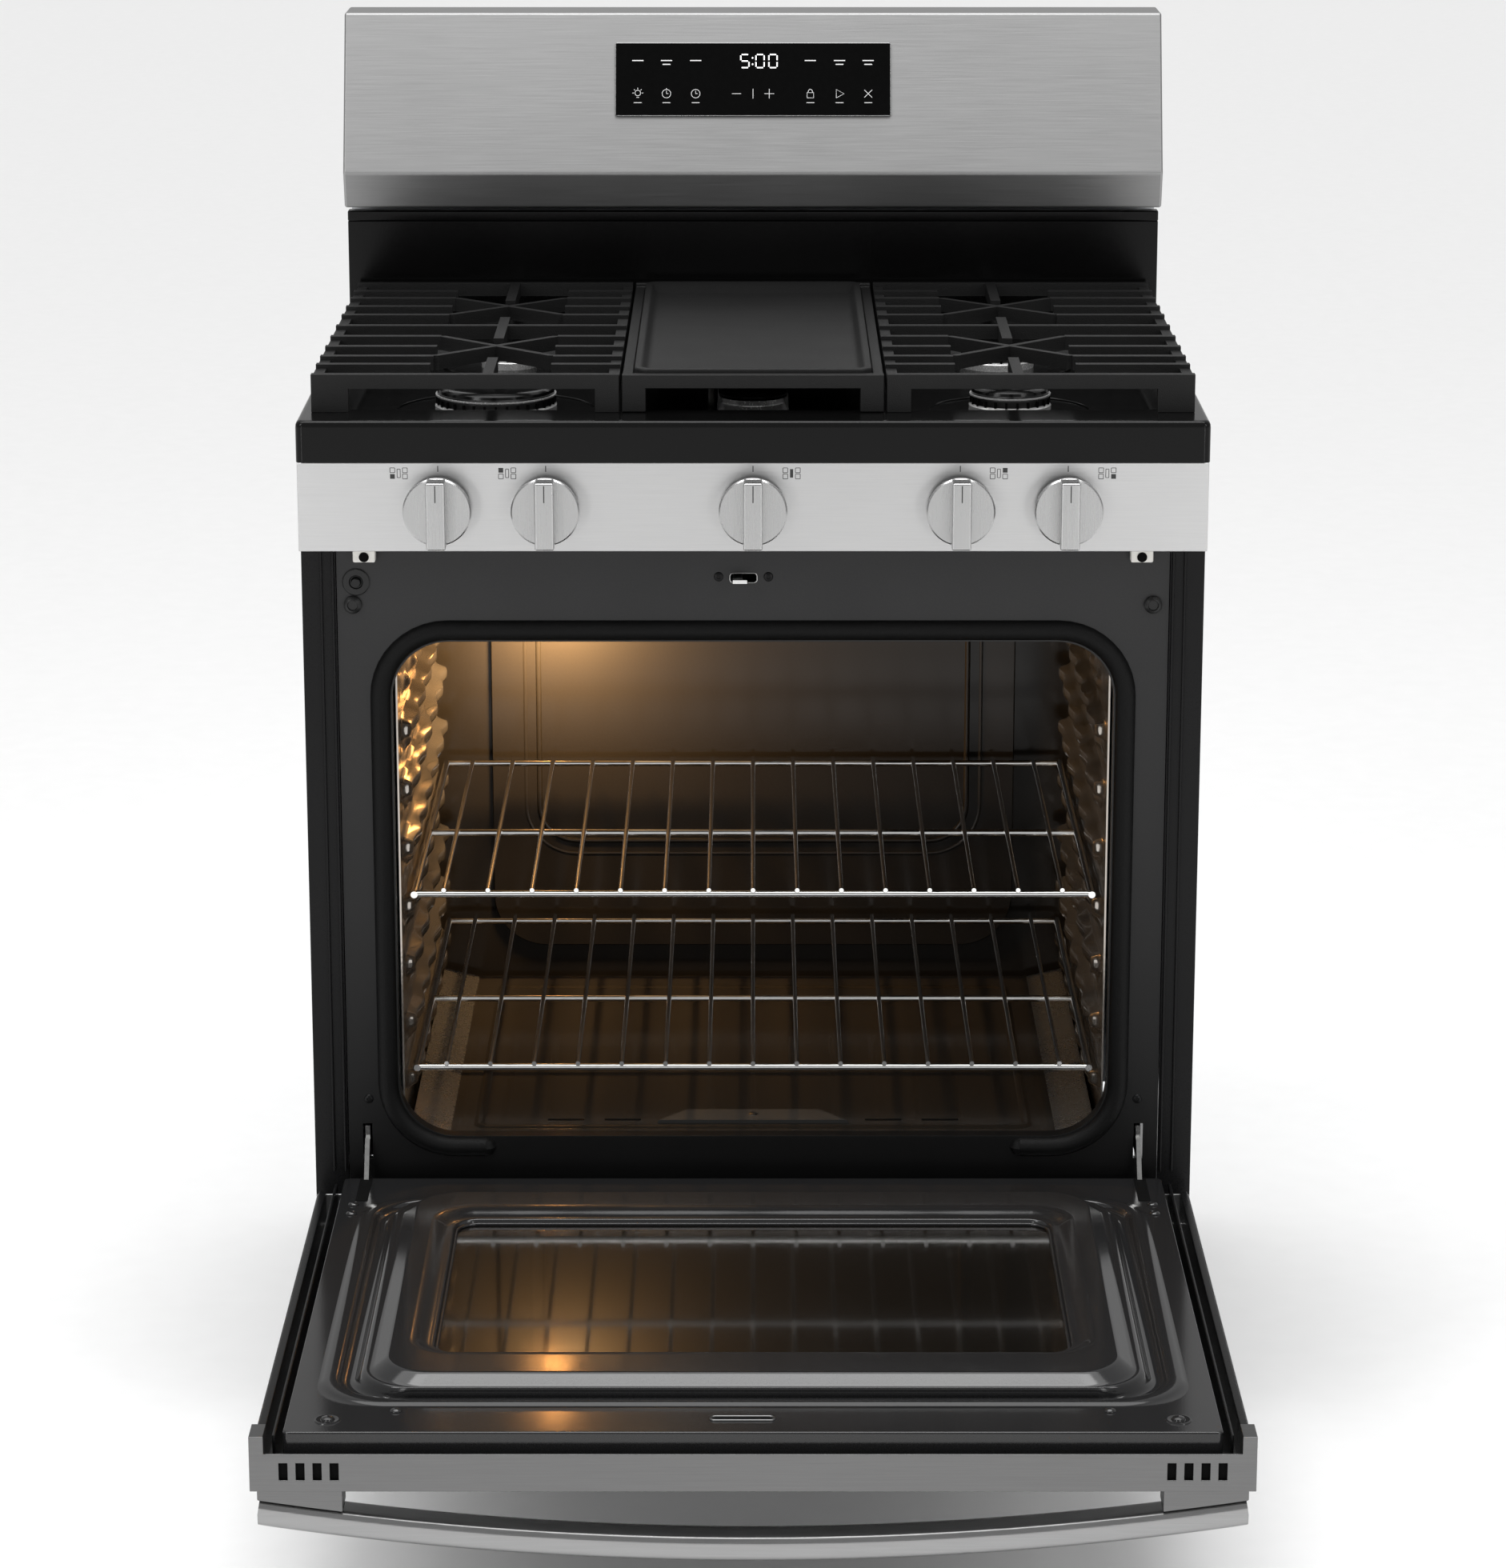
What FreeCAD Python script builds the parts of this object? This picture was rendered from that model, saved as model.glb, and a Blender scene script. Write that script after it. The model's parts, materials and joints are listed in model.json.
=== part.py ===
import FreeCAD, Part
import math
import operator
import os
import types

import Sketcher

# Freestanding gas range, oven door open. Millimetres, +Z up, the front faces -Y, +X is on the
# right of someone who stands in front of it. The origin is on the floor, at the middle of the
# range and its open door.

# Driving sizes. Each is one cell of the sheet, with an alias of the same name. Those that fit or
# line up with others are worked out from these further down, as attributes of the same namespace.
SIZES = {
    # cabinet
    "cabinet_width": 762,
    "body_depth": 622,
    "cooktop_height": 915,
    "front_y": -30,
    "sheet": 1.2,
    "flange_width": 29,
    "side_overhang": 8,
    "side_top_gap": 2,
    "side_rear_inset": 2,
    "panel_side_gap": 2.5,
    "foot_height": 12,
    "foot_radius": 18,
    "foot_stem_radius": 6,
    "foot_inset": 45,
    "base_bottom": 40,
    "base_height": 20,
    "base_rail": 34,
    "base_sheet": 2,
    "rear_panel_inset": 4,
    # oven front frame, gasket and cavity
    "frame_setback": 44,
    "frame_depth": 14,
    "frame_bottom": 205,
    "frame_side_gap": 0.5,
    "frame_top_gap": 2,
    "frame_side_rail": 45,
    "frame_bottom_rail": 71.5,
    "frame_top_rail": 85.3,
    "opening_radius": 49,
    "opening_flange": 2.5,
    "gasket_width": 17.8,
    "gasket_proud": 7,
    "gasket_round": 5,
    "gasket_lip": 1,
    "gasket_break_margin": 74.5,
    "cavity_side_step": 3.5,
    "cavity_floor_step": 30.5,
    "cavity_top_step": 24.3,
    "cavity_rear_gap": 68,
    "liner": 1.5,
    "back_emboss_side": 53,
    "back_emboss_below": 54,
    "back_emboss_above": 42,
    "back_emboss_radius": 50,
    "back_emboss": 4,
    "bottom_plate_height": 24,
    "bottom_plate_gap": 4,
    "oven_burner_margin": 40,
    "bake_tube_radius": 6,
    "bake_tube_spread": 150,
    "broil_tube_radius": 8,
    "broil_below_top": 20,
    "broil_baffle_width": 240,
    "broil_baffle_rise": 4,
    "broil_hanger_width": 8,
    "broil_hanger_side": 10,
    "broil_hanger_end": 20,
    "lamp_from_wall": 98,
    "lamp_below_top": 87,
    "lamp_radius": 24,
    "lamp_base": 6,
    "lamp_dome": 16,
    "lamp_dome_radius": 19.2,
    "probe_x": -70,
    "probe_below_top": 70,
    "probe_radius": 3,
    "probe_length": 70,
    "probe_seat": 2,
    "probe_seat_radius": 9,
    # racks and their guides
    "rack_side_gap": 7,
    "rack_rail_radius": 3,
    "rack_wire_radius": 2,
    "rack_wire_margin": 28.6,
    "rack_front": 31,
    "rack_rear_gap": 18,
    "rack_middle": 201,
    "guide_floor_gap": 53,
    "guide_top_gap": 98.28,
    "guide_reach": 13,
    "guide_height": 14,
    "guide_gap": 0.4,
    "guide_end_margin": 22,
    # door, lying open
    "door_pivot_reach": 33.5,
    "door_pivot_rise": 17.5,
    "door_pivot_depth": 20.5,
    "door_tail": 14.5,
    "door_top_gap": 8,
    "door_skirt_height": 28,
    "door_thickness": 43,
    "door_inner_side_gap": 24.5,
    "door_inner_end_gap": 12,
    "door_plateau_height": 16,
    "door_plateau_side_gap": 11.5,
    "door_plateau_bottom_gap": 6.5,
    "door_plateau_top_gap": 5.7,
    "door_plateau_radius": 45,
    "door_step_height": 2.5,
    "door_step_side": 32.5,
    "door_step_near_end": 15.5,
    "door_step_far_end": 13.5,
    "door_step_radius": 55,
    "window_side": 45,
    "window_near_end": 58,
    "window_far_end": 68,
    "window_radius": 22,
    "window_collar": 3,
    "window_ledge": 1,
    "window_depth": 10,
    "glass_thickness": 4,
    "glass_lap": 12,
    "outer_window_side": 30,
    "outer_window_near_shift": 21.5,
    "outer_window_far_shift": 18.5,
    "end_cap_height": 30,
    "end_cap_thickness": 2.5,
    "end_ear_height": 44,
    "end_ear_length": 26,
    "end_ear_width": 11,
    "vent_slot_width": 6.6,
    "vent_slot_height": 13.8,
    "vent_slot_margin": 63.9,
    "vent_slot_pitch": 12.8,
    "vent_slot_rise": 9,
    "handle_side_inset": 5,
    "handle_thickness": 22,
    "handle_depth": 28,
    "handle_inset": 3,
    "handle_bow": 29,
    "handle_reach": 60,
    "post_width": 64.5,
    "hinge_frame_margin": 16.5,
    "hinge_arm": 4,
    "hinge_cheek": 2,
    "hinge_side_gap": 2,
    "hinge_pin_radius": 4,
    "hinge_fit": 0.05,
    "hinge_boss_radius": 8,
    "hinge_bar_width": 14,
    "hinge_rise": 49.5,
    "hinge_slot_height": 32,
    "hinge_slot_gap": 2,
    "hinge_reach": 26,
    "hinge_channel_length": 95,
    "hinge_notch_length": 66,
    "hinge_notch_drop": 4,
    "latch_x": -8,
    "latch_below_top": 30,
    "latch_slot_width": 22,
    "latch_slot_height": 7,
    "latch_width": 8,
    "latch_thickness": 3,
    "latch_reach": 17,
    "latch_pivot_depth": 41,
    "latch_side_gap": 2,
    "latch_hub_radius": 6,
    "latch_hub_height": 9,
    "door_latch_slot": 48,
    "door_latch_slot_gap": 1,
    "switch_below_top": 33.5,
    "switch_radius": 4,
    "switch_proud": 6,
    "switch_depth": 12,
    "switch_gap": 0.5,
    # storage drawer
    "drawer_door_gap": 10,
    "drawer_bottom": 45,
    "drawer_front_gap": 2,
    "drawer_side_gap": 2,
    "drawer_rear_gap": 96,
    "drawer_wall_drop": 42,
    "drawer_runner_gap": 0.5,
    # cooktop
    "cooktop_side_gap": 1.5,
    "cooktop_rear_gap": 67,
    "apron_height": 35,
    "apron_wall": 1.5,
    "basin_depth": 22,
    "basin_front": 65,
    "rim_rear_width": 20,
    "rim_side_width": 34.5,
    "basin_radius": 30,
    "burner_offset": 19,
    "burner_front_margin": 105,
    "burner_rear_margin": 137,
    "head_height": 16,
    "cap_height": 7,
    "cap_inset": 4,
    "power_head_radius": 52.5,
    "small_head_radius": 25,
    "right_front_head_radius": 35.5,
    "right_rear_head_radius": 33.5,
    "oval_half_width": 31,
    "oval_front_margin": 60,
    "oval_rear_margin": 95,
    "igniter_radius": 2.5,
    "igniter_height": 14,
    "igniter_gap": 6,
    # grates and griddle
    "grate_height": 32,
    "grate_bar_height": 12,
    "grate_bar_width": 9,
    "grate_front": 40,
    "grate_rear_margin": 9,
    "grate_side_margin": 10.5,
    "grate_gap": 2.5,
    "centre_grate_width": 219,
    "grate_rail_drop": 7,
    "grate_finger_gap": 51,
    "grate_outer_leg": 31,
    "grate_inner_leg": 20,
    "grate_foot_gap": 0.3,
    "griddle_front_margin": 10,
    "griddle_rear_margin": 16,
    "griddle_side_gap": 1,
    "griddle_recess": 9,
    "griddle_plate": 5,
    "griddle_rim": 7,
    "griddle_rim_width": 7,
    "griddle_radius": 8,
    "griddle_inner_radius": 5,
    # control panel, knobs, valves and gas pipes
    "panel_height": 75,
    "panel_return": 40,
    "knob_end_margin": 117,
    "knob_pitch": 89.5,
    "knob_radius": 28.5,
    "knob_standoff": 4,
    "knob_disc": 18,
    "knob_grip_width": 16,
    "knob_grip": 20,
    "knob_bore_depth": 22,
    "stem_radius": 3,
    "stem_fit": 0.05,
    "stem_hole_gap": 4,
    "stem_tip_gap": 5,
    "valve_front": 42,
    "valve_depth": 27,
    "valve_width": 30,
    "valve_height": 34,
    "manifold_radius": 11,
    "manifold_end_margin": 58.5,
    "regulator_side": 98.5,
    "regulator_z": 95,
    "regulator_size": 56,
    "gas_inlet_radius": 10.5,
    "gas_inlet_depth": 22,
    "gas_port_margin": 14,
    "gland_side": 88.5,
    "gland_z": 140,
    "gland_bore_radius": 6.5,
    "gland_radius": 11,
    "gland_flange_radius": 15,
    "gland_flange": 2,
    "gland_length": 12,
    # back console
    "riser_height": 105,
    "riser_thickness": 3,
    "console_height": 175,
    "console_crease_height": 33,
    "console_bottom_reach": 100,
    "console_crease_reach": 110,
    "console_top_reach": 56,
    "console_wall": 1.5,
    "display_width": 254,
    "display_height": 64,
    "display_below_top": 27,
    "display_thickness": 3,
    "trim_drop": 17,
    "trim_height": 10,
    "trim_depth": 14,
    "trim_proud": 2,
    # screws that show on the front frame
    "screw_side_margin": 18,
    "screw_rise": 34,
    "latch_screw_spread": 21,
    "latch_screw_rise": 1,
    "screw_head_radius": 4,
    "screw_head_height": 1.5,
}
GUIDE_LEVELS = 7
LOWER_RACK_LEVEL, UPPER_RACK_LEVEL = 0, 3
RACK_WIRES = 15
VENT_SLOTS = 4
OVERRUN = 1  # how far a cut starts outside the piece that it trims

doc = FreeCAD.newDocument("gas_range")
sheet = doc.addObject("Spreadsheet::Sheet", "Sizes")
for row, (name, number) in enumerate(SIZES.items(), start=1):
    sheet.set(f"A{row}", name)
    sheet.set(f"B{row}", str(number))
    sheet.setAlias(f"B{row}", name)
doc.recompute()


class Formula:
    """A number worked out from cells of the sheet, with the expression that works it out."""

    def __init__(self, value, text):
        self.value, self.text = value, text

    def __add__(self, other):
        return combine(operator.add, "+", self, other)

    def __radd__(self, other):
        return combine(operator.add, "+", other, self)

    def __sub__(self, other):
        return combine(operator.sub, "-", self, other)

    def __rsub__(self, other):
        return combine(operator.sub, "-", other, self)

    def __mul__(self, other):
        return combine(operator.mul, "*", self, other)

    def __rmul__(self, other):
        return combine(operator.mul, "*", other, self)

    def __truediv__(self, other):
        return combine(operator.truediv, "/", self, other)

    def __neg__(self):
        return 0 - self


def number_and_text(term):
    return (term.value, term.text) if isinstance(term, Formula) else (term, f"({term})")


def combine(operation, sign, left, right):
    (a, a_text), (b, b_text) = number_and_text(left), number_and_text(right)
    return Formula(operation(a, b), f"({a_text} {sign} {b_text})")


def hypotenuse(one, other):
    (a, a_text), (b, b_text) = number_and_text(one), number_and_text(other)
    return Formula(math.hypot(a, b), f"sqrt({a_text} ^ 2 + {b_text} ^ 2)")


def bind(thing, prop, term):
    thing.setExpression(prop, number_and_text(term)[1])


size = types.SimpleNamespace(**{n: Formula(v, "Sizes." + n) for n, v in SIZES.items()})
nodes = []
cuts = []


def node(label, thing):
    """Names a finished sub-part: its label is the name of its file."""
    thing.Label = label
    nodes.append(thing)
    return thing


def depth(term):
    """The Y of a place that far behind the front face of the control panel."""
    return size.front_y + term


def both(half):
    """The range from minus to plus a half width."""
    return (-half, half)


# ---------------------------------------------------------------- plain solids

def block(name, x, y, z):
    box = doc.addObject("Part::Box", name)
    for side, axis, (low, high) in zip(("Length", "Width", "Height"), "xyz", (x, y, z)):
        bind(box, side, high - low)
        bind(box, "Placement.Base." + axis, low)
    return box


def rod(name, axis, centre, radius, low, high):
    """A round bar along an axis. centre gives its other two coordinates, in axis order."""
    bar = doc.addObject("Part::Cylinder", name)
    about, angle = {"x": ((0, 1, 0), 90), "y": ((1, 0, 0), -90), "z": ((0, 0, 1), 0)}[axis]
    bar.Placement.Rotation = FreeCAD.Rotation(FreeCAD.Vector(*about), angle)
    bind(bar, "Radius", radius)
    bind(bar, "Height", high - low)
    across = [other for other in "xyz" if other != axis]
    for place, term in zip(across + [axis], list(centre) + [low]):
        bind(bar, "Placement.Base." + place, term)
    return bar


def fuse(name, things):
    joined = doc.addObject("Part::MultiFuse", name)
    joined.Shapes = things
    joined.Refine = True
    return joined


def cut(name, base, *tools):
    trimmed = doc.addObject("Part::Cut", name)
    trimmed.Base = base
    trimmed.Tool = tools[0] if len(tools) == 1 else fuse(name + "_tools", list(tools))
    trimmed.Refine = True
    cuts.append((trimmed, base))
    return trimmed


def common(name, base, tool):
    """What two solids share."""
    shared = doc.addObject("Part::Common", name)
    shared.Base = base
    shared.Tool = tool
    return shared


def group(name, things):
    """Separate solids kept as one sub-part, for pieces that come as a set."""
    together = doc.addObject("Part::Compound", name)
    together.Links = things
    return together


def mirrored(name, source):
    twin = doc.addObject("Part::Mirroring", name)
    twin.Source = source
    twin.Normal = FreeCAD.Vector(1, 0, 0)
    return twin


# ---------------------------------------------------------------- sketched solids

PLANES = {"xy": ("XY_Plane", 1), "xz": ("XZ_Plane", -1), "yz": ("YZ_Plane", 1)}


def hold(sketch, kind, geometry, point, term):
    """Ties one coordinate of a sketch point to a formula."""
    value = float(number_and_text(term)[0])
    index = sketch.addConstraint(Sketcher.Constraint(kind, -1, 1, geometry, point, value))
    sketch.renameConstraint(index, f"place{index}")
    bind(sketch, f"Constraints.place{index}", term)


def hold_radius(sketch, geometry, term):
    value = float(number_and_text(term)[0])
    index = sketch.addConstraint(Sketcher.Constraint("Radius", geometry, value))
    sketch.renameConstraint(index, f"radius{index}")
    bind(sketch, f"Constraints.radius{index}", term)


def vector(point):
    return FreeCAD.Vector(*(float(number_and_text(term)[0]) for term in point), 0)


def polygon(sketch, *points):
    ends = points[1:] + points[:1]
    lines = [sketch.addGeometry(Part.LineSegment(vector(a), vector(b)))
             for a, b in zip(points, ends)]
    for line, after in zip(lines, lines[1:] + lines[:1]):
        sketch.addConstraint(Sketcher.Constraint("Coincident", line, 2, after, 1))
    for line, (x, y) in zip(lines, points):
        hold(sketch, "DistanceX", line, 1, x)
        hold(sketch, "DistanceY", line, 1, y)


def rectangle(sketch, x, y):
    polygon(sketch, (x[0], y[0]), (x[1], y[0]), (x[1], y[1]), (x[0], y[1]))


def circle(sketch, x, y, radius):
    ring = sketch.addGeometry(Part.Circle(vector((x, y)), FreeCAD.Vector(0, 0, 1),
                                          float(number_and_text(radius)[0])))
    hold(sketch, "DistanceX", ring, 3, x)
    hold(sketch, "DistanceY", ring, 3, y)
    hold_radius(sketch, ring, radius)


def rounded(sketch, x, y, radius):
    """A rectangle with round corners: an arc at each corner, and a line from each to the next."""
    centres = [(x[0] + radius, y[0] + radius), (x[1] - radius, y[0] + radius),
               (x[1] - radius, y[1] - radius), (x[0] + radius, y[1] - radius)]
    arcs = []
    for quarter, centre in enumerate(centres):
        start = math.pi * (1 + quarter / 2)
        bow = Part.Circle(vector(centre), FreeCAD.Vector(0, 0, 1), number_and_text(radius)[0])
        arcs.append(sketch.addGeometry(Part.ArcOfCircle(bow, start, start + math.pi / 2)))
    for arc, after in zip(arcs, arcs[1:] + arcs[:1]):
        ends = (sketch.Geometry[arc].EndPoint, sketch.Geometry[after].StartPoint)
        line = sketch.addGeometry(Part.LineSegment(*ends))
        sketch.addConstraint(Sketcher.Constraint("Tangent", arc, 2, line, 1))
        sketch.addConstraint(Sketcher.Constraint("Tangent", line, 2, after, 1))
    for arc, centre in zip(arcs, centres):
        hold(sketch, "DistanceX", arc, 3, centre[0])
        hold(sketch, "DistanceY", arc, 3, centre[1])
        hold_radius(sketch, arc, radius)


def sketch_on(body, plane, at, outlines):
    """A sketch on one of the body's own planes, moved along that plane's axis."""
    role, sign = PLANES[plane]
    sketch = body.newObject("Sketcher::SketchObject", body.Name + "_sketch")
    origin_plane = next(f for f in body.Origin.OriginFeatures if f.Role == role)
    sketch.AttachmentSupport = [(origin_plane, "")]
    sketch.MapMode = "FlatFace"
    bind(sketch, "AttachmentOffset.Base.z", sign * at)
    for draw, *values in outlines:
        draw(sketch, *values)
    return sketch


def extrude(body, kind, plane, span, outlines):
    low, high = span
    feature = body.newObject("PartDesign::" + kind, body.Name + "_" + kind.lower())
    start = low if PLANES[plane][1] > 0 else high
    feature.Profile = sketch_on(body, plane, start, outlines)
    bind(feature, "Length", high - low)
    return feature


def pad(body, plane, span, *outlines):
    return extrude(body, "Pad", plane, span, outlines)


def pocket(body, plane, span, *outlines):
    """A cut over the given span. Reversed makes it follow the sketch's normal, as a pad does."""
    before = body.Tip
    feature = extrude(body, "Pocket", plane, span, outlines)
    feature.Reversed = True
    cuts.append((feature, before))
    return feature


def new_body(name):
    return doc.addObject("PartDesign::Body", name)


def soften(body, radius, chosen):
    """Rounds the edges of the body's last feature that a test picks."""
    doc.recompute()
    tip = body.Tip
    names = [f"Edge{n}" for n, edge in enumerate(tip.Shape.Edges, start=1) if chosen(edge)]
    feature = body.newObject("PartDesign::Fillet", body.Name + "_fillet")
    feature.Base = (tip, names)
    bind(feature, "Radius", radius)


def upright(edge):
    """True for a straight edge along Z."""
    box = edge.BoundBox
    return box.XLength < 1e-4 and box.YLength < 1e-4


# ---------------------------------------------------------------- sizes worked out from the others

# widths
size.panel_width = size.cabinet_width - 2 * size.panel_side_gap
size.cooktop_width = size.cabinet_width - 2 * size.cooktop_side_gap
size.frame_width = size.cabinet_width - 2 * (size.flange_width + size.frame_side_gap)
size.opening_width = size.frame_width - 2 * size.frame_side_rail
size.cavity_width = size.opening_width - 2 * size.cavity_side_step
size.back_emboss_width = size.cavity_width - 2 * size.back_emboss_side
size.gasket_break = size.opening_width - 2 * size.gasket_break_margin
size.lamp_x = size.lamp_from_wall - size.cavity_width / 2
size.rack_width = size.cavity_width - 2 * size.rack_side_gap
size.rack_wire_pitch = (size.rack_width - 2 * size.rack_wire_margin) / (RACK_WIRES - 1)
size.door_inner_width = size.panel_width - 2 * size.door_inner_side_gap
size.door_plateau_width = size.opening_width - 2 * size.door_plateau_side_gap
size.door_step_width = size.door_plateau_width + 2 * size.door_step_side
size.window_width = size.door_plateau_width - 2 * size.window_side
size.outer_window_width = size.window_width + 2 * size.outer_window_side
size.vent_slot_first = size.panel_width / 2 - size.vent_slot_margin
size.handle_width = size.panel_width - 2 * size.handle_side_inset
size.hinge_x = size.frame_width / 2 - size.hinge_frame_margin
size.screw_x = size.frame_width / 2 - size.screw_side_margin
size.drawer_width = size.cabinet_width - 2 * (size.flange_width + size.drawer_side_gap)
size.basin_width = size.cooktop_width - 2 * size.rim_side_width
size.grate_side_outer = size.cooktop_width / 2 - size.grate_side_margin
size.grate_side_inner = size.centre_grate_width / 2 + size.grate_gap
size.burner_x = (size.grate_side_outer + size.grate_side_inner) / 2 - size.burner_offset
size.knob_outer_x = size.panel_width / 2 - size.knob_end_margin
size.knob_inner_x = size.knob_outer_x - size.knob_pitch
size.manifold_length = size.panel_width - 2 * size.manifold_end_margin
size.regulator_x = size.panel_width / 2 - size.regulator_side
size.gland_x = size.gland_side - size.panel_width / 2

# heights
size.panel_bottom = size.cooktop_height - size.apron_height - size.panel_height
size.knob_z = size.panel_bottom + size.panel_height / 2
size.frame_top = size.panel_bottom - size.frame_top_gap
size.opening_bottom = size.frame_bottom + size.frame_bottom_rail
size.opening_top = size.frame_top - size.frame_top_rail
size.cavity_bottom = size.opening_bottom - size.cavity_floor_step
size.cavity_top = size.opening_top + size.cavity_top_step
size.bottom_plate_top = size.cavity_bottom + size.bottom_plate_height
size.guide_lowest = size.opening_bottom + size.guide_floor_gap
size.guide_pitch = ((size.cavity_top - size.guide_top_gap - size.guide_lowest)
                    / (GUIDE_LEVELS - 1))
size.lamp_z = size.cavity_top - size.lamp_below_top
size.probe_z = size.cavity_top - size.probe_below_top
size.latch_z = size.frame_top - size.latch_below_top
size.switch_z = size.frame_top - size.switch_below_top
size.screw_z = size.opening_bottom + size.screw_rise
size.door_pivot_z = size.frame_bottom + size.door_pivot_rise
size.door_outer_z = size.door_pivot_z - size.door_pivot_depth
size.door_skirt_top = size.door_outer_z + size.door_skirt_height
size.door_inner_z = size.door_outer_z + size.door_thickness
size.end_ear_top = size.door_outer_z + size.end_ear_height
size.vent_slot_bottom = size.door_outer_z + size.vent_slot_rise
size.handle_low_z = size.door_outer_z - size.handle_reach
size.hinge_slot_z = size.door_pivot_z + size.hinge_rise
size.drawer_top = size.door_outer_z - size.drawer_door_gap
size.grate_top = size.cooktop_height + size.grate_height
size.griddle_bottom = size.grate_top - size.griddle_recess
size.console_bottom_z = size.cooktop_height + size.riser_height
size.console_crease_z = size.console_bottom_z + size.console_crease_height
size.console_top_z = size.console_bottom_z + size.console_height
size.display_top = size.console_top_z - size.display_below_top
size.trim_bottom = size.console_bottom_z - size.trim_drop

# depths, from the front face of the control panel
size.rear_panel_depth = size.body_depth - size.rear_panel_inset
size.cavity_depth = (size.rear_panel_depth - size.cavity_rear_gap
                     - size.frame_setback - size.frame_depth)
size.rack_length = (size.frame_depth + size.cavity_depth - size.back_emboss
                    - size.rack_rear_gap - size.rack_front)
size.drawer_length = (size.rear_panel_depth - size.drawer_rear_gap
                      - size.frame_setback + size.drawer_front_gap)
size.cooktop_back = size.body_depth - size.cooktop_rear_gap
size.basin_back = size.cooktop_back - size.rim_rear_width
size.burner_front = size.basin_front + size.burner_front_margin
size.burner_rear = size.basin_back - size.burner_rear_margin
size.oval_front = size.basin_front + size.oval_front_margin
size.oval_back = size.basin_back - size.oval_rear_margin
size.grate_back = size.cooktop_back - size.grate_rear_margin
size.griddle_front = size.grate_front + size.griddle_front_margin
size.griddle_back = size.grate_back - size.griddle_rear_margin
size.console_bottom_depth = size.body_depth - size.console_bottom_reach
size.console_crease_depth = size.body_depth - size.console_crease_reach
size.console_top_depth = size.body_depth - size.console_top_reach

# distances along the open door, from its pivot
size.door_length = (size.frame_top - size.door_top_gap
                    - size.door_pivot_z + size.door_tail)
size.door_plateau_near = (size.opening_bottom + size.door_plateau_bottom_gap
                          - size.door_pivot_z)
size.door_plateau_far = size.opening_top - size.door_plateau_top_gap - size.door_pivot_z
size.door_step_near = size.door_plateau_near - size.door_step_near_end
size.door_step_far = size.door_plateau_far + size.door_step_far_end
size.window_near = size.door_plateau_near + size.window_near_end
size.window_far = size.door_plateau_far - size.window_far_end
size.outer_window_near = size.window_near + size.outer_window_near_shift
size.outer_window_far = size.window_far + size.outer_window_far_shift
size.latch_reach_along = size.latch_z - size.door_pivot_z

# Each bar across a side grate: its depth, and whether it stops short of its burner.
GRATE_BARS = (
    (size.grate_front + size.grate_bar_width / 2, False),
    (size.burner_front - 75, True), (size.burner_front - 34, True),
    (size.burner_front + 16, True), (size.burner_front + 69, True),
    ((size.burner_front + size.burner_rear) / 2 + 12.5, False),
    (size.burner_rear - 42, True), (size.burner_rear + 6, True),
    (size.burner_rear + 54, True), (size.burner_rear + 96, True),
    (size.grate_back - size.grate_bar_width / 2, False),
)
# Pairs of bars, by number, whose inner ends are joined by two crossing bars over a burner.
GRATE_CROSSES = ((2, 4), (6, 8))
# Bars along the depth, in line with the burners: from and to, as depths.
GRATE_SPINES = (
    (GRATE_BARS[0][0], size.burner_front - 43),
    (size.burner_front + 55, size.burner_rear - 57),
    (size.burner_rear + 37, GRATE_BARS[-1][0]),
)

# ---------------------------------------------------------------- places used by many sub-parts

frame_y = depth(size.frame_setback)
cavity_front_y = frame_y + size.frame_depth
cavity_back_y = cavity_front_y + size.cavity_depth
back_y = depth(size.body_depth)
rear_panel_y = depth(size.rear_panel_depth)
pivot_y = frame_y - size.door_pivot_reach
door_tail_y = pivot_y + size.door_tail
door_end_y = door_tail_y - size.door_length
apron_bottom = size.cooktop_height - size.apron_height
base_top = size.base_bottom + size.base_height
inner_half = size.cabinet_width / 2 - size.sheet
basin_z = size.cooktop_height - size.basin_depth
knob_xs = (-size.knob_outer_x, -size.knob_inner_x, 0, size.knob_inner_x, size.knob_outer_x)
knob_back_y = depth(-size.knob_standoff)


def along_door(distance):
    """The Y of a place that far from the door's pivot, towards its handle, as the door lies open."""
    return pivot_y - distance


# ---------------------------------------------------------------- cabinet

def side_panels():
    """Outer sides, each with a flange turned in at the front beside the oven's frame."""
    outer = size.cabinet_width / 2
    flange = outer - size.flange_width
    left = new_body("side_left")
    end = back_y - size.side_rear_inset
    pad(left, "xy", (size.base_bottom - size.side_overhang, apron_bottom - size.side_top_gap),
        (polygon, (-outer, frame_y), (-flange, frame_y), (-flange, frame_y + size.sheet),
         (-inner_half, frame_y + size.sheet), (-inner_half, end), (-outer, end)))
    node("side_panel_left", left)
    node("side_panel_right", mirrored("side_right", left))


def rear_panel():
    """The back sheet: one corner is left open for the gas pipe, and a hole takes the gland."""
    body = new_body("rear")
    y = (rear_panel_y - size.sheet, rear_panel_y)
    pad(body, "xz", y, (rectangle, both(inner_half), (base_top, size.console_bottom_z)))
    port = size.regulator_size / 2 + size.gas_port_margin
    pocket(body, "xz", y,
           (rectangle, (size.regulator_x - port, inner_half + OVERRUN),
            (base_top - OVERRUN, size.regulator_z + port)),
           (circle, size.gland_x, size.gland_z, size.gland_radius))
    node("rear_panel", body)


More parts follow.
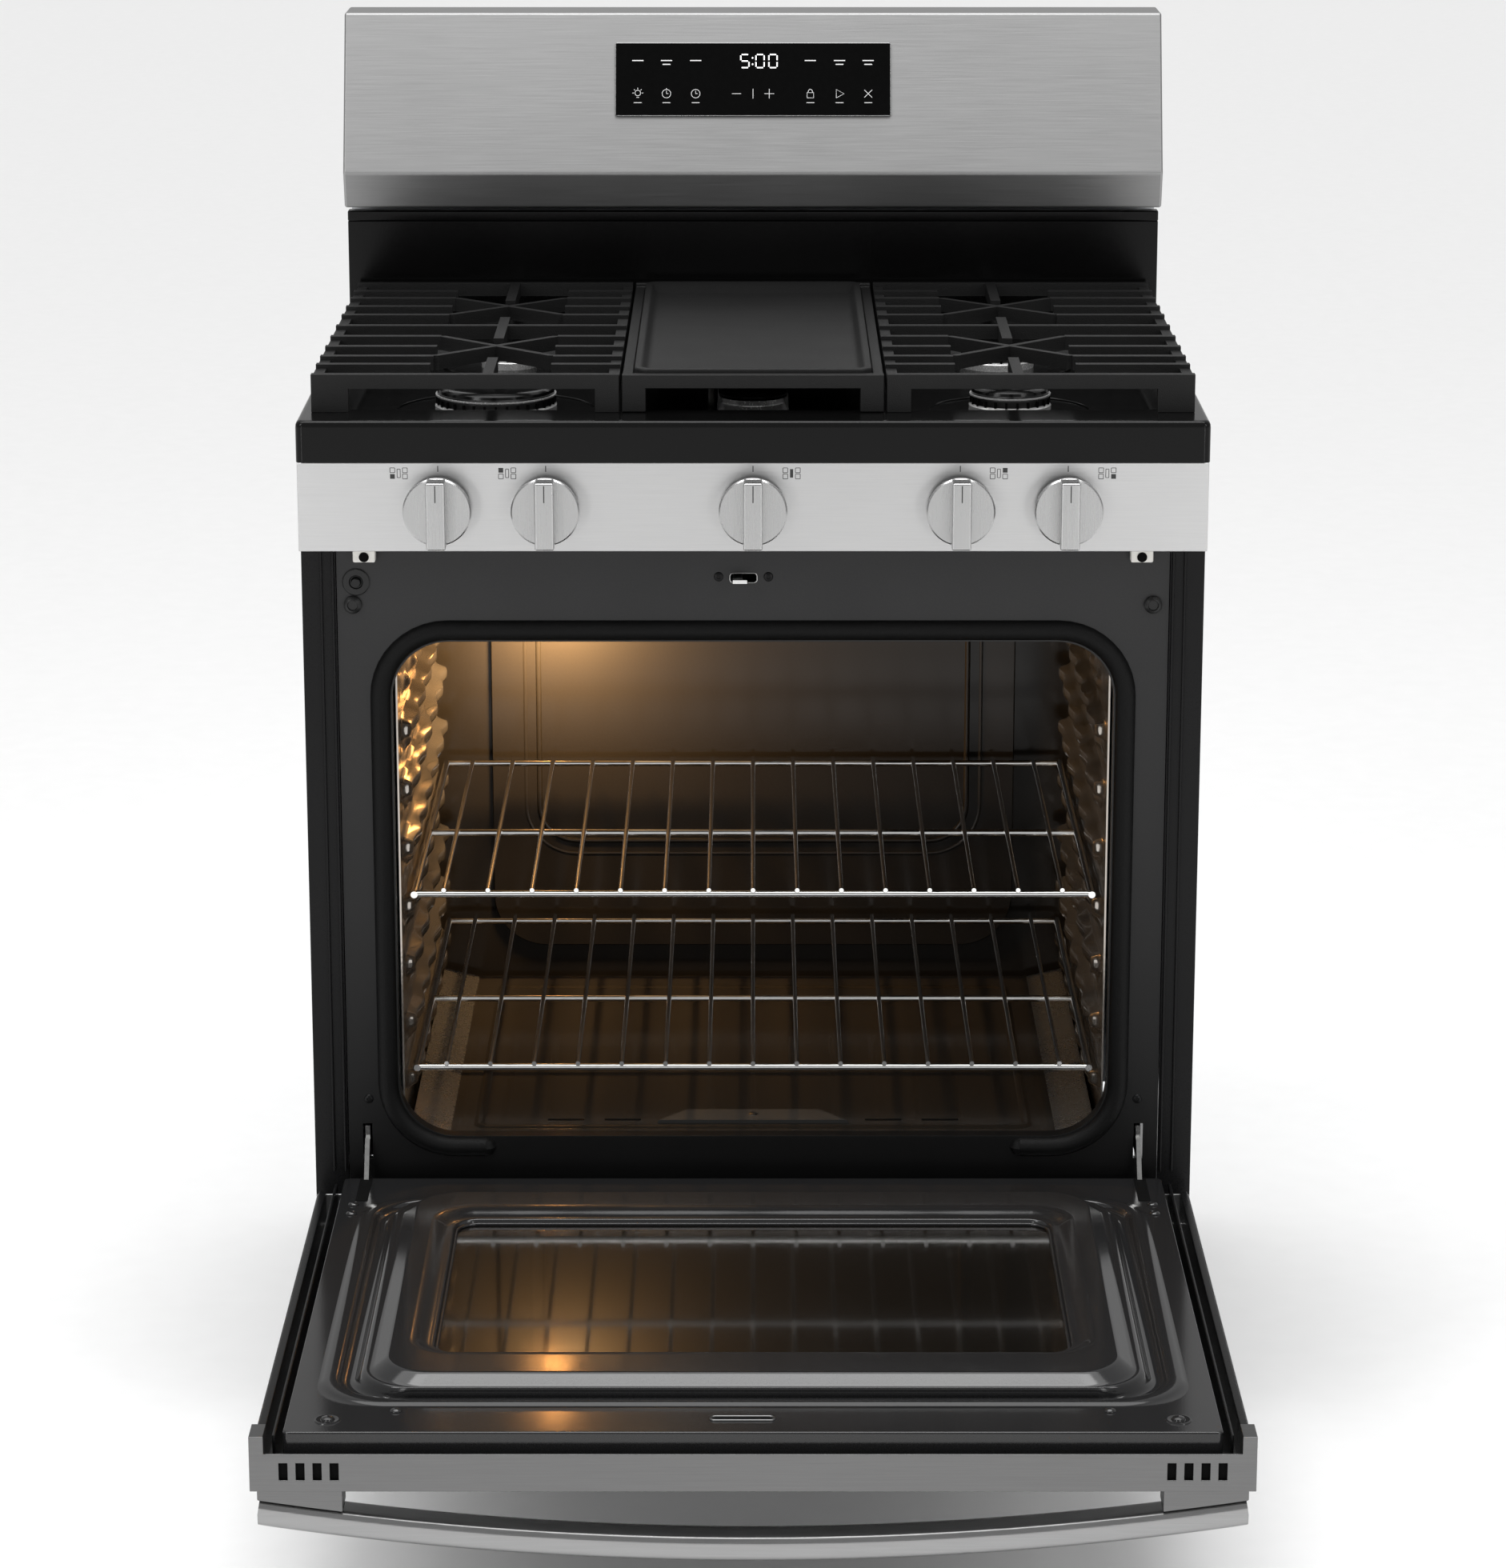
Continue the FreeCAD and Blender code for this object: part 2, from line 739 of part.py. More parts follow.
def base_frame():
    """A ring of four channels, open below, that the cabinet and the drawer stand on."""
    body = new_body("base")
    y = (frame_y + size.sheet, rear_panel_y - size.sheet)
    x_inside, y_inside = both(inner_half - size.base_rail), grown(y, -size.base_rail)
    pad(body, "xy", (size.base_bottom, base_top),
        (rectangle, both(inner_half), y), (rectangle, x_inside, y_inside))
    pocket(body, "xy", (size.base_bottom, base_top - size.base_sheet),
           (rectangle, both(inner_half - size.base_sheet), grown(y, -size.base_sheet)),
           (rectangle, grown(x_inside, size.base_sheet), grown(y_inside, size.base_sheet)))
    node("base_frame", body)


def levelling_feet():
    feet = []
    reach = inner_half - size.base_rail / 2
    for x in both(reach):
        for y in (frame_y + size.foot_inset - size.base_rail / 2, rear_panel_y - size.foot_inset / 2):
            disc = rod("foot_disc", "z", (x, y), size.foot_radius, 0, size.foot_height)
            stem = rod("foot_stem", "z", (x, y), size.foot_stem_radius, size.foot_height,
                       base_top - size.base_sheet)
            feet.append(fuse("foot", [disc, stem]))
    node("levelling_feet", group("feet", feet))


# ---------------------------------------------------------------- oven

def opening_range():
    return both(size.opening_width / 2), (size.opening_bottom, size.opening_top)


def grown(span, margin):
    return (span[0] - margin, span[1] + margin)


def oven_front_frame():
    """The enamelled sheet around the oven's mouth, with a flange that runs back to the cavity."""
    x, z = opening_range()
    body = new_body("front_frame")
    pad(body, "xz", (frame_y, frame_y + size.sheet),
        (rectangle, both(size.frame_width / 2), (size.frame_bottom, size.frame_top)),
        (rounded, x, z, size.opening_radius))
    pad(body, "xz", (frame_y, cavity_front_y),
        (rounded, grown(x, size.opening_flange), grown(z, size.opening_flange),
         size.opening_radius + size.opening_flange),
        (rounded, x, z, size.opening_radius))
    slot_half = size.hinge_arm / 2 + size.hinge_side_gap
    hinge_z = grown((size.hinge_slot_z, size.hinge_slot_z), size.hinge_slot_height / 2)
    latch_x = grown((size.latch_x, size.latch_x), size.latch_slot_width / 2)
    latch_z = grown((size.latch_z, size.latch_z), size.latch_slot_height / 2)
    pocket(body, "xz", (frame_y, frame_y + size.sheet),
           (rectangle, grown((size.hinge_x, size.hinge_x), slot_half), hinge_z),
           (rectangle, grown((-size.hinge_x, -size.hinge_x), slot_half), hinge_z),
           (rectangle, latch_x, latch_z),
           (circle, -size.hinge_x, size.switch_z, size.switch_radius + size.switch_gap))
    node("oven_front_frame", body)


def oven_gasket():
    """The door seal: a half-round strip round the mouth, open at the middle of the bottom."""
    x, z = opening_range()
    body = new_body("gasket")
    outer = size.gasket_lip + size.gasket_width
    pad(body, "xz", (frame_y - size.gasket_proud, frame_y),
        (rounded, grown(x, outer), grown(z, outer), size.opening_radius + outer),
        (rounded, grown(x, size.gasket_lip), grown(z, size.gasket_lip),
         size.opening_radius + size.gasket_lip))
    face = (frame_y - size.gasket_proud).value
    soften(body, size.gasket_round,
           lambda edge: edge.BoundBox.YLength < 1e-4 and abs(edge.BoundBox.YMin - face) < 1e-4)
    pocket(body, "xz", (frame_y - size.gasket_proud, frame_y),
           (rectangle, both(size.gasket_break / 2),
            (size.opening_bottom - outer - OVERRUN, size.opening_bottom + OVERRUN)))
    node("oven_gasket", body)


def guide_z(level):
    """The height of a rack's rails at a level of the guides."""
    return size.guide_lowest + level * size.guide_pitch


def oven_walls():
    """Left and right walls of the cavity. Each has a rib under every place for a rack."""
    inside = size.cavity_width / 2
    y = (cavity_front_y, cavity_back_y)
    wall = block("wall_sheet", (-inside - size.liner, -inside), y,
                 (size.cavity_bottom, size.cavity_top))
    ribs = []
    for level in range(GUIDE_LEVELS):
        top = guide_z(level) - size.rack_rail_radius - size.guide_gap
        ribs.append(block(f"guide_{level}", (-inside, -inside + size.guide_reach),
                          grown(y, -size.guide_end_margin), (top - size.guide_height, top)))
    left = fuse("wall_left", [wall] + ribs)
    node("oven_wall_left", left)
    node("oven_wall_right", mirrored("wall_right", left))


def oven_back():
    outside = size.cavity_width / 2 + size.liner
    body = new_body("cavity_back")
    pad(body, "xz", (cavity_back_y, cavity_back_y + size.liner),
        (rectangle, both(outside), (size.cavity_bottom, size.cavity_top)))
    pad(body, "xz", (cavity_back_y - size.back_emboss, cavity_back_y),
        (rounded, both(size.back_emboss_width / 2),
         (size.cavity_bottom + size.back_emboss_below, size.cavity_top - size.back_emboss_above),
         size.back_emboss_radius))
    node("oven_back", body)


def oven_top_and_floor():
    x = both(size.cavity_width / 2 + size.liner)
    y = (cavity_front_y, cavity_back_y + size.liner)
    node("oven_top", block("cavity_top", x, y, (size.cavity_top, size.cavity_top + size.liner)))
    node("oven_floor", block("cavity_floor", x, y,
                             (size.cavity_bottom - size.liner, size.cavity_bottom)))


def oven_bottom_plate():
    """The lift-out plate over the bake burner: a shallow tray, upside down."""
    half = size.cavity_width / 2 - size.bottom_plate_gap
    y = grown((cavity_front_y, cavity_back_y - size.back_emboss), -size.bottom_plate_gap)
    body = new_body("bottom_plate")
    pad(body, "xy", (size.cavity_bottom, size.bottom_plate_top), (rectangle, both(half), y))
    pocket(body, "xy", (size.cavity_bottom, size.bottom_plate_top - size.sheet),
           (rectangle, both(half - size.sheet), grown(y, -size.sheet)))
    node("oven_bottom_plate", body)


def oven_burners():
    """The bake burner under the bottom plate, and the broil burner under the cavity's top."""
    y = grown((cavity_front_y, cavity_back_y), -size.oven_burner_margin)
    z = (size.cavity_bottom + size.bottom_plate_top - size.sheet) / 2
    radius = size.bake_tube_radius
    tubes = [rod("bake_side", "y", (x, z), radius, y[0], y[1])
             for x in both(size.bake_tube_spread)]
    tubes += [rod("bake_cross", "x", (end, z), radius, -size.bake_tube_spread,
                  size.bake_tube_spread) for end in y]
    node("bake_burner", fuse("bake_tubes", tubes))
    broil_z = size.cavity_top - size.broil_below_top
    baffle_z = broil_z + size.broil_baffle_rise
    tube = rod("broil_tube", "y", (0, broil_z), size.broil_tube_radius, y[0], y[1])
    baffle = block("broil_baffle", both(size.broil_baffle_width / 2), y,
                   (baffle_z, baffle_z + size.sheet))
    half = size.broil_hanger_width / 2
    hangers = [block("broil_hanger", grown((x, x), half), grown((end, end), half),
                     (baffle_z, size.cavity_top))
               for x in both(size.broil_baffle_width / 2 - size.broil_hanger_side)
               for end in grown(y, -size.broil_hanger_end)]
    node("broil_burner", fuse("broil", [tube, baffle] + hangers))


def oven_lamp_and_probe():
    """The lamp under its glass dome, and the temperature probe, both on the back wall."""
    wall = cavity_back_y - size.back_emboss
    centre = (size.lamp_x, size.lamp_z)
    base = rod("lamp_base", "y", centre, size.lamp_radius, wall - size.lamp_base, wall)
    dome = rod("lamp_dome", "y", centre, size.lamp_dome_radius,
               wall - size.lamp_base - size.lamp_dome, wall - size.lamp_base)
    node("oven_lamp", fuse("lamp", [base, dome]))
    centre = (size.probe_x, size.probe_z)
    stick = rod("probe_stick", "y", centre, size.probe_radius, wall - size.probe_length, wall)
    seat = rod("probe_seat", "y", centre, size.probe_seat_radius, wall - size.probe_seat, wall)
    node("temperature_probe", fuse("probe", [stick, seat]))


def oven_rack(label, level):
    """A wire shelf: side rails on the guides, three cross rails and wires laid over them."""
    z = guide_z(level)
    radius = size.rack_rail_radius
    side = size.rack_width / 2 - radius
    y = (frame_y + size.rack_front, frame_y + size.rack_front + size.rack_length)
    rails = [rod("rack_side", "y", (x, z), radius, y[0] - radius, y[1] + radius)
             for x in both(side)]
    rails += [rod("rack_cross", "x", (place, z), radius, -side, side)
              for place in (y[0], y[0] + size.rack_middle, y[1])]
    wire_z = z + radius + size.rack_wire_radius / 2
    for number in range(RACK_WIRES):
        x = (number - (RACK_WIRES - 1) / 2) * size.rack_wire_pitch
        rails.append(rod("rack_wire", "y", (x, wire_z), size.rack_wire_radius,
                         y[0] - radius, y[1] + radius))
    node(label, fuse(label + "_wires", rails))


# ---------------------------------------------------------------- cooktop

def burner_places():
    """Each round burner: name, X, Y and the radius of its head."""
    front, rear = depth(size.burner_front), depth(size.burner_rear)
    return (("front_left", -size.burner_x, front, size.power_head_radius),
            ("rear_left", -size.burner_x, rear, size.small_head_radius),
            ("front_right", size.burner_x, front, size.right_front_head_radius),
            ("rear_right", size.burner_x, rear, size.right_rear_head_radius))


def cooktop():
    """The enamelled top: an apron and rim round a basin, hollow underneath."""
    body = new_body("top")
    half = size.cooktop_width / 2
    y = (depth(0), depth(size.cooktop_back))
    basin = both(size.basin_width / 2), (depth(size.basin_front), depth(size.basin_back))
    pad(body, "xy", (apron_bottom, size.cooktop_height), (rectangle, both(half), y))
    pocket(body, "xy", (basin_z, size.cooktop_height), (rounded, *basin, size.basin_radius))
    pocket(body, "xy", (apron_bottom, basin_z - size.sheet),
           (rectangle, both(half - size.apron_wall), grown(y, -size.apron_wall)))
    pocket(body, "xy", (basin_z - size.sheet, size.cooktop_height - size.sheet),
           (rectangle, both(half - size.apron_wall), grown(y, -size.apron_wall)),
           (rounded, *[grown(span, size.apron_wall) for span in basin],
            size.basin_radius + size.apron_wall))
    node("cooktop", body)


def oval(name, x_half, y, z, shrink):
    """A long burner piece: two round ends and a straight middle."""
    radius = x_half - shrink
    ends = (y[0] + x_half, y[1] - x_half)
    rounds = [rod(name + "_end", "z", (0, end), radius, z[0], z[1]) for end in ends]
    return fuse(name, rounds + [block(name + "_middle", both(radius), ends, z)])


def burners():
    """Aluminium heads that stand on the basin, and the black caps that lie on them."""
    head_z = (basin_z, basin_z + size.head_height)
    cap_z = (head_z[1], head_z[1] + size.cap_height)
    heads, caps, igniters = [], [], []
    for name, x, y, radius in burner_places():
        heads.append(rod("head_" + name, "z", (x, y), radius, *head_z))
        caps.append(rod("cap_" + name, "z", (x, y), radius - size.cap_inset, *cap_z))
        igniters.append(rod("igniter_" + name, "z", (x, y + radius + size.igniter_gap),
                            size.igniter_radius, basin_z, basin_z + size.igniter_height))
    y = (depth(size.oval_front), depth(size.oval_back))
    heads.append(oval("head_centre", size.oval_half_width, y, head_z, 0))
    caps.append(oval("cap_centre", size.oval_half_width, y, cap_z, size.cap_inset))
    igniters.append(rod("igniter_centre", "z", (-size.oval_half_width - size.igniter_gap,
                                                (y[0] + y[1]) / 2),
                        size.igniter_radius, basin_z, basin_z + size.igniter_height))
    node("burner_heads", group("heads", heads))
    node("burner_caps", group("caps", caps))
    node("igniters", group("electrodes", igniters))


def grate_levels():
    top = size.grate_top
    bottom = top - size.grate_bar_height
    rail = (bottom - size.grate_rail_drop, top - size.grate_rail_drop / 2)
    return (bottom, top), rail, size.cooktop_height + size.grate_foot_gap


def grate_frame(name, x, leg_widths):
    """What every grate has: two side rails along the depth, and a leg at each end of both."""
    bar_z, rail_z, foot_z = grate_levels()
    y = (depth(size.grate_front), depth(size.grate_back))
    width = size.grate_bar_width
    pieces = []
    for rail_x in ((x[0], x[0] + width), (x[1] - width, x[1])):
        pieces.append(block(name + "_rail", rail_x, y, rail_z))
    for leg_x in ((x[0], x[0] + leg_widths[0]), (x[1] - leg_widths[1], x[1])):
        for leg_y in ((y[0], y[0] + width), (y[1] - width, y[1])):
            pieces.append(block(name + "_leg", leg_x, leg_y, (foot_z, bar_z[1])))
    return pieces


def side_grate():
    """Cast bars that reach in from both side rails towards the two burners."""
    bar_z, _, _ = grate_levels()
    half_bar = size.grate_bar_width / 2
    x = (-size.grate_side_outer, -size.grate_side_inner)
    inner_ends = both(size.grate_finger_gap)
    pieces = grate_frame("side_grate", x, (size.grate_outer_leg, size.grate_inner_leg))
    for place, stops_short in GRATE_BARS:
        y = grown((depth(place), depth(place)), half_bar)
        if not stops_short:
            pieces.append(block("bar", x, y, bar_z))
            continue
        pieces.append(block("bar", (x[0], -size.burner_x + inner_ends[0]), y, bar_z))
        pieces.append(block("bar", (-size.burner_x + inner_ends[1], x[1]), y, bar_z))
    for first, last in GRATE_CROSSES:
        y = depth(GRATE_BARS[first][0]), depth(GRATE_BARS[last][0])
        pieces += [slanted_bar(y, side, half_bar, bar_z) for side in (-1, 1)]
    for start, end in GRATE_SPINES:
        pieces.append(block("spine", grown((-size.burner_x, -size.burner_x), half_bar),
                            (depth(start), depth(end)), bar_z))
    left = fuse("left_grate_bars", pieces)
    node("grate_left", left)
    node("grate_right", mirrored("right_grate_bars", left))


def slanted_bar(y, side, half_bar, z):
    """One of the two bars that cross over a burner, from one bar's end to another's."""
    body = new_body("cross_bar")
    low, high = (-size.burner_x - side * size.grate_finger_gap,
                 -size.burner_x + side * size.grate_finger_gap)
    pad(body, "xy", z,
        (polygon, (low - half_bar, y[0]), (low + half_bar, y[0]),
         (high + half_bar, y[1]), (high - half_bar, y[1])))
    return body


def centre_grate():
    """Cross bars over the long burner; all but the end ones lie lower, to nest the griddle."""
    bar_z, _, _ = grate_levels()
    low_z = (bar_z[0] - size.griddle_recess, size.griddle_bottom)
    half_bar = size.grate_bar_width / 2
    x = both(size.centre_grate_width / 2)
    pieces = grate_frame("centre_grate", x, (size.grate_inner_leg,) * 2)
    for place, _ in GRATE_BARS[::2]:
        y = grown((depth(place), depth(place)), half_bar)
        z = bar_z if place in (GRATE_BARS[0][0], GRATE_BARS[-1][0]) else low_z
        pieces.append(block("centre_bar", x, y, z))
    node("grate_centre", fuse("centre_grate_bars", pieces))


def griddle():
    """A cast plate with a low rim, nested between the rails of the centre grate."""
    body = new_body("griddle_plate")
    half = size.centre_grate_width / 2 - size.grate_bar_width - size.griddle_side_gap
    y = (depth(size.griddle_front), depth(size.griddle_back))
    bottom = size.griddle_bottom + size.grate_foot_gap
    top = bottom + size.griddle_plate + size.griddle_rim
    pad(body, "xy", (bottom, top), (rounded, both(half), y, size.griddle_radius))
    pocket(body, "xy", (bottom + size.griddle_plate, top),
           (rounded, both(half - size.griddle_rim_width), grown(y, -size.griddle_rim_width),
            size.griddle_inner_radius))
    node("griddle", body)


# ---------------------------------------------------------------- control panel and gas

def control_panel():
    """The front fascia: a channel of sheet metal with a hole for each valve stem."""
    body = new_body("fascia")
    face, back = depth(0), depth(size.panel_return)
    skin = size.sheet
    low, high = size.panel_bottom, apron_bottom
    pad(body, "yz", both(size.panel_width / 2),
        (polygon, (face, low), (back, low), (back, low + skin), (face + skin, low + skin),
         (face + skin, high - skin), (back, high - skin), (back, high), (face, high)))
    pocket(body, "xz", (face, face + skin),
           *[(circle, x, size.knob_z, size.stem_radius + size.stem_hole_gap)
             for x in knob_xs])
    node("control_panel", body)


def knobs():
    """Five knobs. Each slides on its valve's stem, and turns with it."""
    valve_y = depth(size.valve_front)
    disc_y = knob_back_y - size.knob_disc
    grip_y = disc_y - size.knob_grip
    bore = size.stem_radius + size.stem_fit
    stem_tip_y = knob_back_y - size.knob_bore_depth + size.stem_tip_gap
    for number, x in enumerate(knob_xs, start=1):
        disc = rod("knob_disc", "y", (x, size.knob_z), size.knob_radius, disc_y, knob_back_y)
        grip = block("knob_grip", grown((x, x), size.knob_grip_width / 2), (grip_y, disc_y),
                     grown((size.knob_z, size.knob_z), size.knob_radius))
        hole = rod("knob_bore", "y", (x, size.knob_z), bore,
                   knob_back_y - size.knob_bore_depth, knob_back_y)
        turned = fuse("knob_turned", [disc, grip])
        node(f"knob_{number}", cut(f"knob_body_{number}", turned, hole))
        node(f"valve_stem_{number}", rod(f"stem_{number}", "y", (x, size.knob_z),
                                         size.stem_radius, stem_tip_y, valve_y))


def gas_train():
    """Valves on their manifold pipe behind the control panel, and the regulator low at the back."""
    valve_y = (depth(size.valve_front), depth(size.valve_front + size.valve_depth))
    valves = [block("valve", grown((x, x), size.valve_width / 2), valve_y,
                    grown((size.knob_z, size.knob_z), size.valve_height / 2)) for x in knob_xs]
    node("gas_valves", group("valves", valves))
    pipe = rod("manifold", "x", (valve_y[1] + size.manifold_radius, size.knob_z),
               size.manifold_radius, -size.manifold_length / 2, size.manifold_length / 2)
    node("gas_manifold", pipe)
    half = size.regulator_size / 2
    back = rear_panel_y - size.sheet
    shell = block("regulator_shell", grown((size.regulator_x, size.regulator_x), half),
                  (back - size.regulator_size, back),
                  (size.regulator_z - half, size.regulator_z + half))
    inlet = rod("gas_inlet", "y", (size.regulator_x, size.regulator_z), size.gas_inlet_radius,
                back - size.gas_inlet_depth, back)
    node("gas_regulator", cut("regulator", shell, inlet))


def cord_gland():
    """The grommet in the rear panel that a mains cord would come out of."""
    centre = (size.gland_x, size.gland_z)
    y = (rear_panel_y - size.gland_length, rear_panel_y + size.gland_flange)
    sleeve = rod("gland_sleeve", "y", centre, size.gland_radius, y[0], rear_panel_y)
    flange = rod("gland_flange", "y", centre, size.gland_flange_radius, rear_panel_y, y[1])
    hole = rod("gland_bore", "y", centre, size.gland_bore_radius, y[0], y[1])
    node("cord_gland", cut("gland", fuse("gland_turned", [sleeve, flange]), hole))


# ---------------------------------------------------------------- back console

def console_face_y(z):
    """The Y of the console's leaning face at a height."""
    rise = size.console_top_z - size.console_crease_z
    run = size.console_top_depth - size.console_crease_depth
    return depth(size.console_crease_depth + (z - size.console_crease_z) * run / rise)


def console():
    """The folded backguard, hollow inside, with the touch display on its leaning face."""
    low, crease, top = size.console_bottom_z, size.console_crease_z, size.console_top_z
    wall = size.console_wall
    half = size.panel_width / 2
    body = new_body("backguard")
    pad(body, "yz", both(half),
        (polygon, (depth(size.console_bottom_depth), low), (back_y, low), (back_y, top),
         (depth(size.console_top_depth), top), (depth(size.console_crease_depth), crease)))
    pocket(body, "yz", both(half - wall),
           (polygon, (depth(size.console_bottom_depth) + wall, low + wall),
            (back_y - wall, low + wall), (back_y - wall, top - wall),
            (console_face_y(top - wall) + wall, top - wall),
            (console_face_y(crease) + wall, crease)))
    node("console_shell", body)
    glass = new_body("display")
    bottom, high = size.display_top - size.display_height, size.display_top
    skin = size.display_thickness
    pad(glass, "yz", both(size.display_width / 2),
        (polygon, (console_face_y(bottom), bottom), (console_face_y(high), high),
         (console_face_y(high) - skin, high), (console_face_y(bottom) - skin, bottom)))
    node("console_display", glass)


def riser():
    """The black panel between the cooktop and the console, and the vent trim along its top."""
    half = size.panel_width / 2
    face = depth(size.cooktop_back)
    skin = size.riser_thickness
    rear = rear_panel_y - size.sheet
    body = new_body("riser_sheet")
    pad(body, "xy", (apron_bottom, size.trim_bottom),
        (polygon, (-half, face), (half, face), (half, rear), (half - skin, rear),
         (half - skin, face + skin), (-half + skin, face + skin), (-half + skin, rear),
         (-half, rear)))
    node("riser_panel", body)
    trim_y = face - size.trim_proud
    node("vent_trim", block("trim", both(half), (trim_y, trim_y + size.trim_depth),
                            (size.trim_bottom, size.trim_bottom + size.trim_height)))


# ---------------------------------------------------------------- oven door

def hinge_notches(body, z):
    """Clears the way of both hinge arms through a panel of the door."""
    half = size.hinge_arm / 2 + size.hinge_side_gap + size.hinge_cheek
    y = (door_tail_y - size.hinge_notch_length, door_tail_y + OVERRUN)
    pocket(body, "xy", z,
           *[(rectangle, grown((x, x), half), y) for x in both(size.hinge_x)])


def door_outer_panel():
    """The stainless skin with its side skirts, a tray as the door lies open."""
    half = size.panel_width / 2
    y = (door_end_y + size.end_cap_thickness, door_tail_y)
    z = (size.door_outer_z, size.door_skirt_top)
    body = new_body("door_skin")
    pad(body, "xy", z, (rectangle, both(half), y))
    pocket(body, "xy", (z[0] + size.sheet, z[1]),
           (rectangle, both(half - size.sheet), (y[0] - OVERRUN, y[1] - size.sheet)))
    pocket(body, "xy", (z[0], z[0] + size.sheet),
           (rounded, both(size.outer_window_width / 2),
            (along_door(size.outer_window_far), along_door(size.outer_window_near)),
            size.window_radius))
    hinge_notches(body, (size.door_pivot_z - size.hinge_notch_drop, z[1]))
    node("door_outer_panel", body)


def door_inner_panel():
    """The pressed lining that faces the oven: a pan with a plateau and a collar round its window."""
    half = size.door_inner_width / 2
    floor, flat = size.door_outer_z + size.sheet, size.door_inner_z
    step = flat + size.door_step_height
    plateau = flat + size.door_plateau_height
    skin = size.sheet
    y = (door_end_y + size.door_inner_end_gap, door_tail_y - size.sheet)
    plateau_y = (along_door(size.door_plateau_far), along_door(size.door_plateau_near))
    plateau_x = both(size.door_plateau_width / 2)
    radius = size.door_plateau_radius
    window = (both(size.window_width / 2),
              (along_door(size.window_far), along_door(size.window_near)))
    collar = [grown(span, size.window_collar) for span in window]
    body = new_body("door_lining")
    pad(body, "xy", (floor, flat), (rectangle, both(half), y))
    pad(body, "xy", (flat, step),
        (rounded, both(size.door_step_width / 2),
         (along_door(size.door_step_far), along_door(size.door_step_near)),
         size.door_step_radius))
    pad(body, "xy", (step, plateau), (rounded, plateau_x, plateau_y, radius))
    pocket(body, "xy", (floor, flat - skin), (rectangle, both(half - skin), grown(y, -skin)))
    pocket(body, "xy", (flat - skin, plateau - skin),
           (rounded, *[grown(span, -skin) for span in (plateau_x, plateau_y)], radius - skin),
           (rounded, *collar, size.window_radius + size.window_collar))
    pocket(body, "xy", (floor, plateau - size.window_depth - skin),
           (rounded, *[grown(span, size.window_ledge) for span in collar],
            size.window_radius + size.window_collar + size.window_ledge))
    pocket(body, "xy", (plateau - size.window_depth - skin, plateau),
           (rounded, *window, size.window_radius))
    slot_y = grown((along_door(size.latch_reach_along),) * 2,
                   size.latch_slot_height / 2 + size.door_latch_slot_gap)
    pocket(body, "xy", (flat - skin, flat),
           (rectangle, grown((size.latch_x, size.latch_x), size.door_latch_slot / 2), slot_y))
    hinge_notches(body, (size.door_pivot_z - size.hinge_notch_drop, step))
    node("door_inner_panel", body)


def door_glasses():
    """The outer pane behind the skin's window, and the inner pane under the lining's collar."""
    floor = size.door_outer_z + size.sheet
    lap = size.glass_lap
    node("door_outer_glass", block(
        "outer_pane", both(size.outer_window_width / 2 + lap),
        grown((along_door(size.outer_window_far), along_door(size.outer_window_near)), lap),
        (floor, floor + size.glass_thickness)))
    collar_bottom = (size.door_inner_z + size.door_plateau_height - size.window_depth
                     - size.sheet)
    node("door_inner_glass", block(
        "inner_pane", both(size.window_width / 2 + lap),
        grown((along_door(size.window_far), along_door(size.window_near)), lap),
        (collar_bottom - size.glass_thickness, collar_bottom)))


def door_end_cap():
    """The stainless strip along the top edge of the door, with vent slots and corner ears."""
    half = size.panel_width / 2
    y = (door_end_y, door_end_y + size.end_cap_thickness)
    low = size.door_outer_z
    body = new_body("end_cap")
    pad(body, "xz", y, (rectangle, both(half), (low, low + size.end_cap_height)))
    slot_z = (size.vent_slot_bottom, size.vent_slot_bottom + size.vent_slot_height)
    slots = []
    for number in range(VENT_SLOTS):
        x = size.vent_slot_first + number * size.vent_slot_pitch
        slots += [(rectangle, grown((side * x, side * x), size.vent_slot_width / 2), slot_z)
                  for side in (-1, 1)]
    pocket(body, "xz", y, *slots)
    ears = [block("ear", x, (door_end_y, door_end_y + size.end_ear_length),
                  (size.door_skirt_top, size.end_ear_top))
            for x in ((-half, -half + size.end_ear_width), (half - size.end_ear_width, half))]
    node("door_end_cap", fuse("end_cap_with_ears", [body] + ears))


def door_handle():
    """A bar that bows away from the door, and the post that joins each end to the skin."""
    half = size.handle_width / 2
    rise = size.handle_bow
    radius = (half * half + rise * rise) / (2 * rise)
    y = (door_end_y + size.handle_inset, door_end_y + size.handle_inset + size.handle_depth)
    middle_z = size.handle_low_z + size.handle_thickness / 2
    centre = (0, middle_z + radius)
    outer = rod("handle_outer", "y", centre, radius + size.handle_thickness / 2, *y)
    inner = rod("handle_inner", "y", centre, radius - size.handle_thickness / 2, *y)
    stock = block("handle_stock", both(half), y,
                  (size.handle_low_z - OVERRUN, size.door_outer_z))
    node("door_handle", common("handle_bar", cut("handle_ring", outer, inner), stock))
    posts = []
    for x in ((-half, -half + size.post_width), (half - size.post_width, half)):
        stock = block("post_stock", x, y, (size.handle_low_z, size.door_outer_z))
        bow = rod("post_bow", "y", centre, radius - size.handle_thickness / 2, *y)
        posts.append(common("handle_post", stock, bow))
    node("handle_posts", group("posts", posts))


